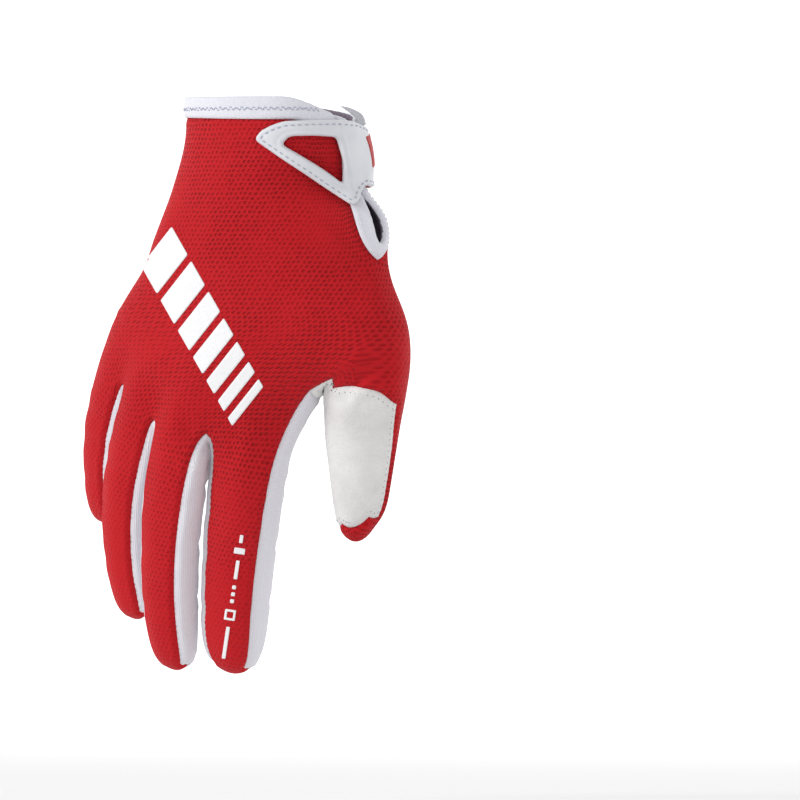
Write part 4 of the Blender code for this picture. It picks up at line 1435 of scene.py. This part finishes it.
def stitch_piece(name, paths):
    """Rows of stitches: short rounded threads laid end to end along paths of places and normals."""
    look, slot, length, pitch, radius, sink = STITCHES[name]
    places, polygons = [], []
    for path in paths:
        points = np.array([[*place, *normal] for place, normal in path])
        along = arc_lengths(points[:, :3])
        spots = np.arange(pitch / 2, along[-1], pitch)
        threads = (at_lengths(points, along, spots + shift) for shift in (0, -length / 2, length / 2))
        for middle, start, end in zip(*threads):
            heading = Vector(end[:3] - start[:3]).normalized()
            up = Vector(middle[3:])
            up = (up - heading * up.dot(heading)).normalized()
            side = heading.cross(up)
            centre = Vector(middle[:3]) + up * radius * (1 - 2 * sink)
            first = len(places)
            for share, girth in THREAD_RINGS:
                arch = up * radius * THREAD_ARCH * (1 - (2 * share) ** 2)
                for number in range(THREAD_SIDES):
                    turn = 2 * math.pi * number / THREAD_SIDES
                    places.append(centre + heading * share * length + arch - up * radius * 0.5
                                  + (side * math.cos(turn) + up * math.sin(turn)) * radius * girth)
            polygons += tube_faces(first, len(THREAD_RINGS), THREAD_SIDES)
            polygons.append(tuple(range(first, first + THREAD_SIDES)))
            polygons.append(tuple(range(len(places) - 1, len(places) - 1 - THREAD_SIDES, -1)))
    keep(new_piece(name, np.array([place[:] for place in places]), polygons, (LOOKS[look],)), slot)


def beside_seam(form, skin, names, offset):
    """Paths on the glove's surface beside the seam of two panels, on the first one's side."""
    one, other = (PANEL_NUMBERS[name] for name in names)
    centres = form.places[form.faces].mean(axis=1)
    near = np.flatnonzero((form.panels == one) | (form.panels == other))
    tree = KDTree(len(near))
    for number in near:
        tree.insert(centres[number], int(number))
    tree.balance()
    paths = []
    for run in form.seam_runs.get(tuple(sorted((one, other))), []):
        line = resample(np.hstack((form.places[run], form.normals[run])), MM)
        path = []
        for point, tangent in zip(line, np.gradient(line[:, :3], axis=0)):
            place, normal = Vector(point[:3]), Vector(point[3:]).normalized()
            aside = normal.cross(Vector(tangent)).normalized()
            if form.panels[tree.find(place + aside * offset)[1]] != one:
                aside.negate()
            hit, hit_normal = cast(skin, place + aside * offset, normal, SEAM_RAY)
            if hit is not None:
                path.append((hit, hit_normal))
        if len(path) >= SHORTEST_PATH:
            paths.append(path)
    return paths


def seated_path(found):
    return [seat for seat in found if seat is not None]


def bar_outline(middle, run, length, height, slant, corner):
    """A slanted bar: its middle, which way the row runs, and its sizes along and across it."""
    run = np.array(run) / np.linalg.norm(run)
    across = np.array((run[1], -run[0]))
    corners = [middle + run * (length / 2 * along + slant * height * up) + across * height / 2 * up
               for along, up in ((-1, -1), (1, -1), (1, 1), (-1, 1))]
    return round_corners(corners, corner)


def add_print(name, outlines, lay, look, slot, step):
    """Thin prints on the glove, one flat shape each, kept as one piece."""
    places, polygons = [], []
    for outline, windows in outlines:
        points, quads, _ = cut_plate(outline, windows, step)
        found = lay(points)
        kept = np.array([seat is not None for seat in found])
        quads = quads[kept[quads].all(axis=1)]
        base = np.array([seat[0][:] if seat else (0, 0, 0) for seat in found])
        normals = np.array([seat[1][:] if seat else (0, 0, 0) for seat in found])
        start = len(places)
        places += [*(base + normals * PRINT_WALL), *(base - normals * PRINT_WALL)]
        for polygon in two_sided(quads, len(points)):
            polygons.append([corner + start for corner in polygon])
    piece = new_piece(name, np.array(places), polygons, (LOOKS[look],))
    mend_sides(piece)
    keep(piece, slot)


def add_vents(palm, form):
    """The real air holes through the palm's leather, cut like the solid's."""
    bm = bmesh.new()
    length, sides = 0.012, 24
    for centre, direction in vent_axes(form):
        place = Matrix.Translation(centre) @ direction.to_track_quat("Z", "Y").to_matrix().to_4x4()
        bmesh.ops.create_cone(bm, cap_ends=True, segments=sides, radius1=VENT_DIAMETER / 2,
                              radius2=VENT_DIAMETER / 2, depth=length, matrix=place)
    mesh = bpy.data.meshes.new("vents")
    bm.to_mesh(mesh)
    bm.free()
    cutter = add_object("vents", mesh)
    cut = palm.modifiers.new("Cut vents", "BOOLEAN")
    cut.operation = "DIFFERENCE"
    cut.solver = "EXACT"
    cut.object = cutter
    result = bpy.data.meshes.new_from_object(palm.evaluated_get(bpy.context.evaluated_depsgraph_get()))
    palm.modifiers.clear()
    palm.data = result
    bpy.data.objects.remove(cutter)


def vent_axes(form):
    """Where each air hole passes through the leather, and along which line."""
    tree = BVHTree.FromPolygons([Vector(place) for place in form.places], form.faces.tolist())
    axes = []
    for finger in FINGERS:
        shape = FingerForm(finger)
        for along in finger.vents:
            _, back, _ = shape.axes(along)
            hit, _, _, _ = tree.ray_cast(shape.centre(along), -back)
            axes.append((hit, back))
    for vent in PALM_VENTS:
        start = Vector((vent.across * HAND_SPAN, PALM_DEPTH * 2, -vent.along * HAND_LENGTH))
        hit, normal, _, _ = tree.ray_cast(start, Vector((0, -1, 0)))
        axes.append((hit, normal))
    return axes


class Shade:
    """One procedural material and the nodes that it is made of."""

    def __init__(self, name, roughness, **settings):
        self.look = bpy.data.materials.new(name)
        self.look.use_nodes = True
        self.nodes = self.look.node_tree.nodes
        self.links = self.look.node_tree.links
        self.shader = self.nodes["Principled BSDF"]
        self.shader.inputs["Roughness"].default_value = roughness
        for key, value in settings.items():
            self.shader.inputs[key.replace("_", " ")].default_value = value

    def put(self, socket, value):
        if isinstance(value, bpy.types.NodeSocket):
            self.links.new(value, socket)
        else:
            socket.default_value = value

    def node(self, kind, output, settings, **values):
        made = self.nodes.new("ShaderNode" + kind)
        for key, value in settings.items():
            setattr(made, key, value)
        for key, value in values.items():
            self.put(made.inputs[key.replace("_", " ")], value)
        return made.outputs[output]

    def math(self, operation, *values):
        made = self.nodes.new("ShaderNodeMath")
        made.operation = operation
        for socket, value in zip(made.inputs, values):
            self.put(socket, value)
        return made.outputs[0]

    def cloth(self):
        """Distances across and down the flat cloth, in metres."""
        place = self.node("UVMap", "UV", {"uv_map": "cloth"})
        across, down, _ = self.parts(place)
        return place, across, down

    def parts(self, vector):
        """The three parts of a vector."""
        split = self.nodes.new("ShaderNodeSeparateXYZ")
        self.links.new(vector, split.inputs[0])
        return split.outputs

    def place(self):
        return self.node("TexCoord", "Object", {})

    def noise(self, place, size, detail=2.0, roughness=0.55):
        return self.node("TexNoise", "Fac", {}, Vector=place, Scale=1 / size, Detail=detail,
                         Roughness=roughness)

    def cells(self, place, size, feature="F1"):
        return self.node("TexVoronoi", "Distance", {"feature": feature}, Vector=place, Scale=1 / size)

    def range(self, value, low, high, to_low=0.0, to_high=1.0):
        return self.node("MapRange", "Result", {"interpolation_type": "SMOOTHSTEP"}, Value=value,
                         From_Min=low, From_Max=high, To_Min=to_low, To_Max=to_high)

    def mix(self, share, one, other):
        made = self.nodes.new("ShaderNodeMix")
        made.data_type = "RGBA"
        self.put(made.inputs["Factor"], share)
        for socket, value in (("A_Color", one), ("B_Color", other)):
            self.put(next(entry for entry in made.inputs if entry.identifier == socket), value)
        return next(entry for entry in made.outputs if entry.identifier == "Result_Color")

    def colour(self, value):
        self.put(self.shader.inputs["Base Color"], value)

    def bump(self, height, distance, strength=1.0, under=None):
        values = {"Height": height, "Distance": distance, "Strength": strength}
        if under is not None:
            values["Normal"] = under
        return self.node("Bump", "Normal", {}, **values)

    def normal(self, value):
        self.links.new(value, self.shader.inputs["Normal"])


def red_mesh_look():
    """Knitted spacer mesh: staggered rows of small oval dimples between fine ribs, with painted shade in the
    dimples.
    """
    shade = Shade("red_mesh", 0.75, Sheen_Weight=0.04, Sheen_Roughness=0.5, Specular_IOR_Level=0.12)
    place, across, down = shade.cloth()
    warp = shade.noise(place, 0.012, 1.0)
    across = shade.math("DIVIDE", shade.math("MULTIPLY_ADD", warp, 0.0012, across), MESH_PITCH[0])
    down = shade.math("DIVIDE", shade.math("MULTIPLY_ADD", warp, 0.0008, down), MESH_PITCH[1])
    row = shade.math("FLOOR", down)
    shifted = shade.math("MULTIPLY_ADD", shade.math("MODULO", row, 2.0), 0.5, across)
    cell = shade.node("CombineXYZ", "Vector", {}, X=shade.math("FLOOR", shifted), Y=row)
    strays = shade.parts(shade.node("TexWhiteNoise", "Color", {}, Vector=cell))
    aside, below = (
        shade.math("SUBTRACT", shade.math("FRACT", value), shade.math("MULTIPLY_ADD", stray, 0.2, 0.4))
        for value, stray in ((shifted, strays["X"]), (down, strays["Y"])))
    leaning = shade.math("MULTIPLY_ADD", below, 0.35, aside)
    wide = shade.math("POWER", shade.math("DIVIDE", leaning, 0.34), 2.0)
    high = shade.math("POWER", shade.math("DIVIDE", below, 0.3), 2.0)
    spread = shade.math("SQRT", shade.math("ADD", wide, high))
    dimple = shade.range(spread, 0.3, 1.3, 1.0, 0.0)
    # The dimples' dark colour is painted shade in their hollows. It is weaker toward the little finger's
    # side, where the light falls, and at the fingers' ends, and it varies at random. The same strength sets
    # their depth.
    spot = shade.parts(shade.place())
    for strength in (shade.math("MULTIPLY_ADD", strays["Z"], 0.4, 0.6),
                     shade.range(shade.noise(place, 0.03), 0.3, 0.62, 0.45, 1.0),
                     shade.range(spot["X"], -0.075, -0.01, 0.5, 1.0),
                     shade.range(spot["Z"], -0.2, -0.13, 0.6, 1.0)):
        dimple = shade.math("MULTIPLY", dimple, strength)
    fine = shade.noise(place, 0.00035, 2.0, 0.7)
    colour = shade.mix(dimple, RED, RED_DEEP)
    colour = shade.mix(shade.range(fine, 0.3, 0.8, 0.0, 0.35), colour, RED_DEEP)
    patches = shade.noise(shade.place(), 0.05, 3.0)
    shade.colour(shade.mix(shade.range(patches, 0.35, 0.7, 0.0, 0.35), colour, RED_FRESH))
    height = shade.math("MULTIPLY_ADD", fine, 0.16, shade.math("SUBTRACT", 1.0, dimple))
    shade.normal(shade.bump(height, 0.0007))
    return shade.look


def leather_look(name, colour, worn, grain):
    """Synthetic leather: fine grain of small cells, soft mottling and a little wear."""
    shade = Shade(name, 0.5, Specular_IOR_Level=0.35, Sheen_Weight=0.08)
    place = shade.place()
    cells = shade.range(shade.cells(place, grain, "DISTANCE_TO_EDGE"), 0.0, 0.3)
    fine = shade.noise(place, 0.0005, 3.0, 0.7)
    soft = shade.noise(place, 0.016, 3.0, 0.6)
    height = shade.math("MULTIPLY_ADD", fine, 0.5, cells)
    shade.colour(shade.mix(shade.range(soft, 0.35, 0.75), colour, worn))
    shade.put(shade.shader.inputs["Roughness"], shade.range(fine, 0.2, 0.9, 0.42, 0.6))
    wave = shade.bump(shade.noise(place, 0.006, 2.0), 0.0004)
    shade.normal(shade.bump(height, 0.00009, 0.8, wave))
    return shade.look


def knit_look():
    """Fine knitted cloth: narrow ribs down it, crossed by the rows of its loops."""
    shade = Shade("stretch_knit", 0.8, Sheen_Weight=0.3, Sheen_Roughness=0.4, Specular_IOR_Level=0.25)
    place, across, down = shade.cloth()
    ribs, loops = (shade.math("SINE", shade.math("MULTIPLY", value, 2 * math.pi / pitch))
                   for value, pitch in ((across, KNIT_RIB), (down, KNIT_RIB * 0.8)))
    weave = shade.math("MULTIPLY_ADD", loops, 0.45, ribs)
    fibres = shade.noise(place, 0.0003, 2.0, 0.7)
    raised = shade.math("MULTIPLY_ADD", fibres, 0.8, weave)
    # The knit is darker in the grooves between its ribs: painted shade.
    shade.colour(shade.mix(shade.range(raised, -1.3, 1.1), KNIT_SHADE, KNIT_WHITE))
    shade.normal(shade.bump(raised, 0.00006))
    return shade.look


def tape_look():
    """Binding tape of a fine even weave, a little wavy."""
    shade = Shade("binding_tape", 0.7, Sheen_Weight=0.2, Specular_IOR_Level=0.3)
    weave = shade.cells(shade.place(), 0.0007)
    shade.colour(shade.mix(shade.range(weave, 0.1, 0.75, 0.0, 0.7), TAPE_WHITE, TAPE_SHADE))
    wave = shade.bump(shade.noise(shade.place(), 0.009, 3.0), 0.0005)
    shade.normal(shade.bump(weave, 0.00012, 0.8, wave))
    return shade.look


def moulding_look():
    """The strap's smooth coated skin, very finely grained."""
    shade = Shade("strap_moulding", 0.42, Specular_IOR_Level=0.4, Coat_Weight=0.06)
    place = shade.place()
    grain = shade.noise(place, 0.0004, 2.0, 0.6)
    soft = shade.noise(place, 0.012, 2.0)
    shade.colour(shade.mix(shade.range(soft, 0.35, 0.7, 0.0, 0.8), STRAP_WHITE, STRAP_SHADE))
    shade.normal(shade.bump(grain, 0.00007, 0.8, shade.bump(soft, 0.0003)))
    return shade.look


def pile_look():
    """Loop pile: small tangled tufts."""
    shade = Shade("loop_pile", 0.9, Sheen_Weight=0.5, Sheen_Roughness=0.4, Specular_IOR_Level=0.15)
    place = shade.place()
    tangle = shade.noise(place, 0.0004, 3.0, 0.7)
    depth = shade.math("MULTIPLY_ADD", tangle, 0.6, shade.cells(place, 0.0009))
    # The pile is darker in its hollows, where the bump sinks it: painted shade.
    shade.colour(shade.mix(shade.range(depth, 0.3, 1.1), PILE_PINK, PILE_SHADE))
    shade.normal(shade.bump(depth, -0.0004))
    return shade.look


def fine_look(name, colour, shadow, size, roughness, height):
    """A plain finish with a fine grain: thread, print, the lining, dark with painted shade of the glove's
    hollow, or the inside of a hole, dark with painted shade.
    """
    shade = Shade(name, roughness, Specular_IOR_Level=0.3)
    grain = shade.noise(shade.place(), size, 2.0, 0.65)
    shade.colour(shade.mix(shade.range(grain, 0.25, 0.8, 0.0, 0.8), colour, shadow))
    shade.normal(shade.bump(grain, height))
    return shade.look


def stage_look():
    """A pale seamless studio sweep that glows faintly, as under large soft lights."""
    shade = Shade("sweep", 0.9, Specular_IOR_Level=0.1)
    grain = shade.noise(shade.place(), 0.6, 2.0)
    shade.colour(shade.mix(grain, SWEEP_WHITE, SWEEP_GREY))
    shade.shader.inputs["Emission Color"].default_value = (1, 1, 1, 1)
    glow = shade.range(shade.parts(shade.place())["Y"], *SWEEP_DEPTH, *SWEEP_GLOW)
    shade.put(shade.shader.inputs["Emission Strength"], glow)
    return shade.look


def add_stage():
    """A round sweep: a flat floor that curves up into a wall all round."""
    flat = SWEEP_RADIUS - SWEEP_BEND
    profile = []
    for step in range(SWEEP_STEPS + 1):
        bend = math.pi / 2 * step / SWEEP_STEPS
        profile.append((flat + SWEEP_BEND * math.sin(bend), FLOOR + SWEEP_BEND * (1 - math.cos(bend))))
    profile.append((SWEEP_RADIUS, SWEEP_TOP))
    places = [(0.0, 0.0, FLOOR)]
    for radius, height in profile:
        for side in range(SWEEP_SIDES):
            turn = 2 * math.pi * side / SWEEP_SIDES
            places.append((radius * math.cos(turn), radius * math.sin(turn), height))
    polygons = [(0, 1 + side, 1 + (side + 1) % SWEEP_SIDES) for side in range(SWEEP_SIDES)]
    polygons += tube_faces(1, len(profile), SWEEP_SIDES)
    new_piece("sweep", np.array(places), polygons, (stage_look(),))
    world = bpy.data.worlds.new("studio")
    world.use_nodes = True
    sky = world.node_tree.nodes["Background"].inputs
    sky["Color"].default_value = (1, 1, 1, 1)
    sky["Strength"].default_value = SKY_GLOW
    bpy.context.scene.world = world
    for name, place, size, power in LIGHTS:
        lamp = bpy.data.lights.new(name, "AREA")
        lamp.shape = "DISK"
        lamp.size = size
        lamp.energy = power
        light = add_object(name, lamp)
        light.location = place
        toward = Vector((0, 0, -VIEW_DOWN)) - light.location
        light.rotation_euler = toward.to_track_quat("-Z", "Y").to_euler()


def add_camera():
    (right, back), _ = VIEWS["back"]
    lens = bpy.data.cameras.new("camera")
    lens.sensor_width = SENSOR_WIDTH
    lens.lens = SENSOR_WIDTH * CAMERA_DISTANCE / VIEW_WIDTH
    lens.clip_end = CAMERA_REACH
    camera = add_object("camera", lens)
    middle = Vector(right) * VIEW_ACROSS + Vector((0, 0, -VIEW_DOWN))
    camera.location = middle + Vector(back) * CAMERA_DISTANCE
    camera.rotation_euler = (math.radians(90), 0, math.radians(BACK_VIEW))
    scene = bpy.context.scene
    scene.camera = camera
    scene.view_settings.view_transform = "Standard"
    scene.view_settings.look = "None"


def make_looks():
    return {
        "red_mesh": red_mesh_look(),
        "palm_leather": leather_look("palm_leather", LEATHER_WHITE, LEATHER_SHADE, 0.0011),
        "pad_leather": leather_look("pad_leather", PAD_WHITE, PAD_SHADE, 0.0009),
        "stretch_knit": knit_look(),
        "binding_tape": tape_look(),
        "strap": moulding_look(),
        "pile": pile_look(),
        **{key: fine_look(*settings) for key, settings in FINE_LOOKS.items()},
    }


def make_cage():
    cage = Cage()
    add_fingers(cage)
    add_hand(cage)
    add_thumb(cage)
    return cage


def add_strap(panels):
    """The loop patch, and the strap with its window, seated on the wrist and then on the patch."""
    patch_chart = round_corners(strap_chart(PATCH_OUTLINE), STRAP_CORNER)
    seat = WristSeat(skin_tree(panels))

    def pile_height(inside, _):
        return PATCH_WALL * lerp(PATCH_EDGE, 1, smoothstep(*PATCH_BORDER, inside))

    patch = plate_piece("loop_patch_pile", cut_plate(patch_chart, [], PLATE_STEP), seat, pile_height,
                        "pile", "loop_cloth", ["loop_patch"])
    outline = round_corners(strap_chart(STRAP_OUTLINE), STRAP_CORNER)
    window = round_corners(strap_chart(STRAP_WINDOW), STRAP_CORNER)
    plate = cut_plate(outline, [window], PLATE_STEP)
    tab = strap_chart(TAB_STITCH)

    def strap_height(inside, points):
        ring, _ = line_distance(points, np.vstack((tab, tab[:1])))
        turns = points[:, 0] / STRAP_MM_PER_DEGREE
        groove = sum(depth * bell(aside, width) for aside, (depth, width) in zip(
            (inside - STRAP_STITCH_INSET, turns - STRAP_FOLD_TURN, ring), STRAP_GROOVES))
        return STRAP_WALL * lerp(STRAP_EDGE_HEIGHT, 1, round_edge(inside, STRAP_EDGE)) - groove * MM

    over = WristSeat(skin_tree([*panels, patch]))
    strap = plate_piece("wrist_strap_moulded", plate, over, strap_height, "strap", "strap_moulding",
                        ["wrist_strap"])
    skin = skin_tree([strap])
    around = round_corners(tab, TAB_STITCH_CORNER)
    around = resample(np.vstack((around, around[:1])), STRAP_MARK_STEP)
    for name, path in (("strap_stitches", inset_path(outline, STRAP_STITCH_INSET)), ("tab_stitches", around)):
        stitch_piece(name, [seated_path(strap_path(skin, path))])
    add_print("strap_mark", [(round_corners(strap_chart(STRAP_MARK), STRAP_MARK_CORNER), [])],
              lambda points: strap_path(skin, points), "mark", "strap_moulding", STRAP_MARK_STEP)

    def tab_height(inside, _):
        return PULL_TAB_HEIGHT * round_edge(inside, STRAP_EDGE) + PULL_TAB_EDGE

    outline = round_corners(strap_chart(PULL_TAB), PULL_TAB_CORNER)
    plate_piece("pull_tab", cut_plate(outline, [], PULL_TAB_STEP), seat, tab_height, "pull_tab",
                "strap_moulding")


def strap_path(skin, points):
    path = []
    for across, depth in points:
        place, normal = body_point(across / STRAP_MM_PER_DEGREE, depth * MM)
        hit, _ = cast(skin, place, normal, STRAP_RAY)
        path.append(None if hit is None else (hit, normal))
    return path


def cuff_path(skin):
    """A zigzag round the cuff binding, from one edge of the slit to the other."""
    depth, swing, pitch = CUFF_ZIGZAG
    clear = math.degrees((SLIT_WIDTH + SLIT_EDGING) / (CUFF_DEPTH / 2))
    turns = np.arange(SLIT_TURN + clear, SLIT_TURN + 360 - clear, pitch / STRAP_MM_PER_DEGREE)
    path = []
    for number, turn in enumerate(turns):
        down = (depth + swing * (-1) ** number) * MM
        turn = float(turn) % 360
        place, normal = body_point(turn, down + cuff_dip(turn, CUFF_ZIGZAG_ROW))
        hit, _ = cast(skin, place, normal, CUFF_RAY)
        if hit is not None:
            path.append((hit, normal))
    return path


def add_stitches(form, pieces, skin):
    stitch_piece("cuff_stitches", [cuff_path(skin_tree([pieces["cuff_binding"]]))])
    stitch_piece("slit_stitches", beside_seam(form, skin, ("slit_binding", "back_panel"), SLIT_STITCH_OFFSET))
    right = Vector(VIEWS["back"][0][0])
    paths = [[(place, normal) for place, normal in path
              if abs(normal.dot(right)) > PAD_HOLES_FACING or place.x > PAD_HOLES_FROM]
             for path in beside_seam(form, skin, ("thumb_pad", "back_panel"), PAD_STITCH_OFFSET)]
    stitch_piece("pad_needle_holes", [path for path in paths if len(path) >= SHORTEST_PATH])
    strip = resample(np.array((*VENT_STRIP, VENT_STRIP[0])), PLATE_STEP)
    for name, path in (("heel_stitches", rounded_line(HEEL_STITCH)), ("vent_strip_stitches", strip)):
        stitch_piece(name, [seated_path(on_skin(skin, "palm", path * MM))])


def add_prints(skin):
    bars, along = [], 0.0
    run = np.array(BARS_RUN)
    for width in BAR_WIDTHS:
        middle = np.array(BARS_START) + run * (along + width / 2)
        bars.append((bar_outline(middle, run, width, BARS_HEIGHT, BARS_SLANT, BAR_CORNER), []))
        along += width + BARS_GAP

    def lay(points):
        return on_skin(skin, "back", points * MM)

    add_print("knuckle_bars", bars, lay, "print", "back_mesh", BARS_STEP)
    start, end = np.array(MARKS_START), np.array(MARKS_END)
    run = (end - start) / np.linalg.norm(end - start)
    marks = []
    for along, length, height in MARKS:
        middle = start + run * (along + length / 2)
        outline = bar_outline(middle, run, length, height, 0.0, MARK_CORNERS[0])
        hollow = []
        if min(length, height) >= HOLLOW_MARK:
            inner = length - MARK_FRAME, height - MARK_FRAME
            hollow = [bar_outline(middle, run, *inner, 0.0, MARK_CORNERS[1])]
        marks.append((outline, hollow))
    add_print("finger_marks", marks, lay, "print", "back_mesh", MARKS_STEP)


def add_glove():
    form = FineForm(make_cage())
    lift = fold_lift(form)
    pieces = {panel.name: panel_piece(form, panel, lift) for panel in PANELS}
    add_vents(pieces["palm_panel"], form)
    skin = skin_tree(pieces.values())
    add_strap(list(pieces.values()))
    add_stitches(form, pieces, skin)
    add_prints(skin)


LOOKS = make_looks()
add_glove()
add_stage()
add_camera()
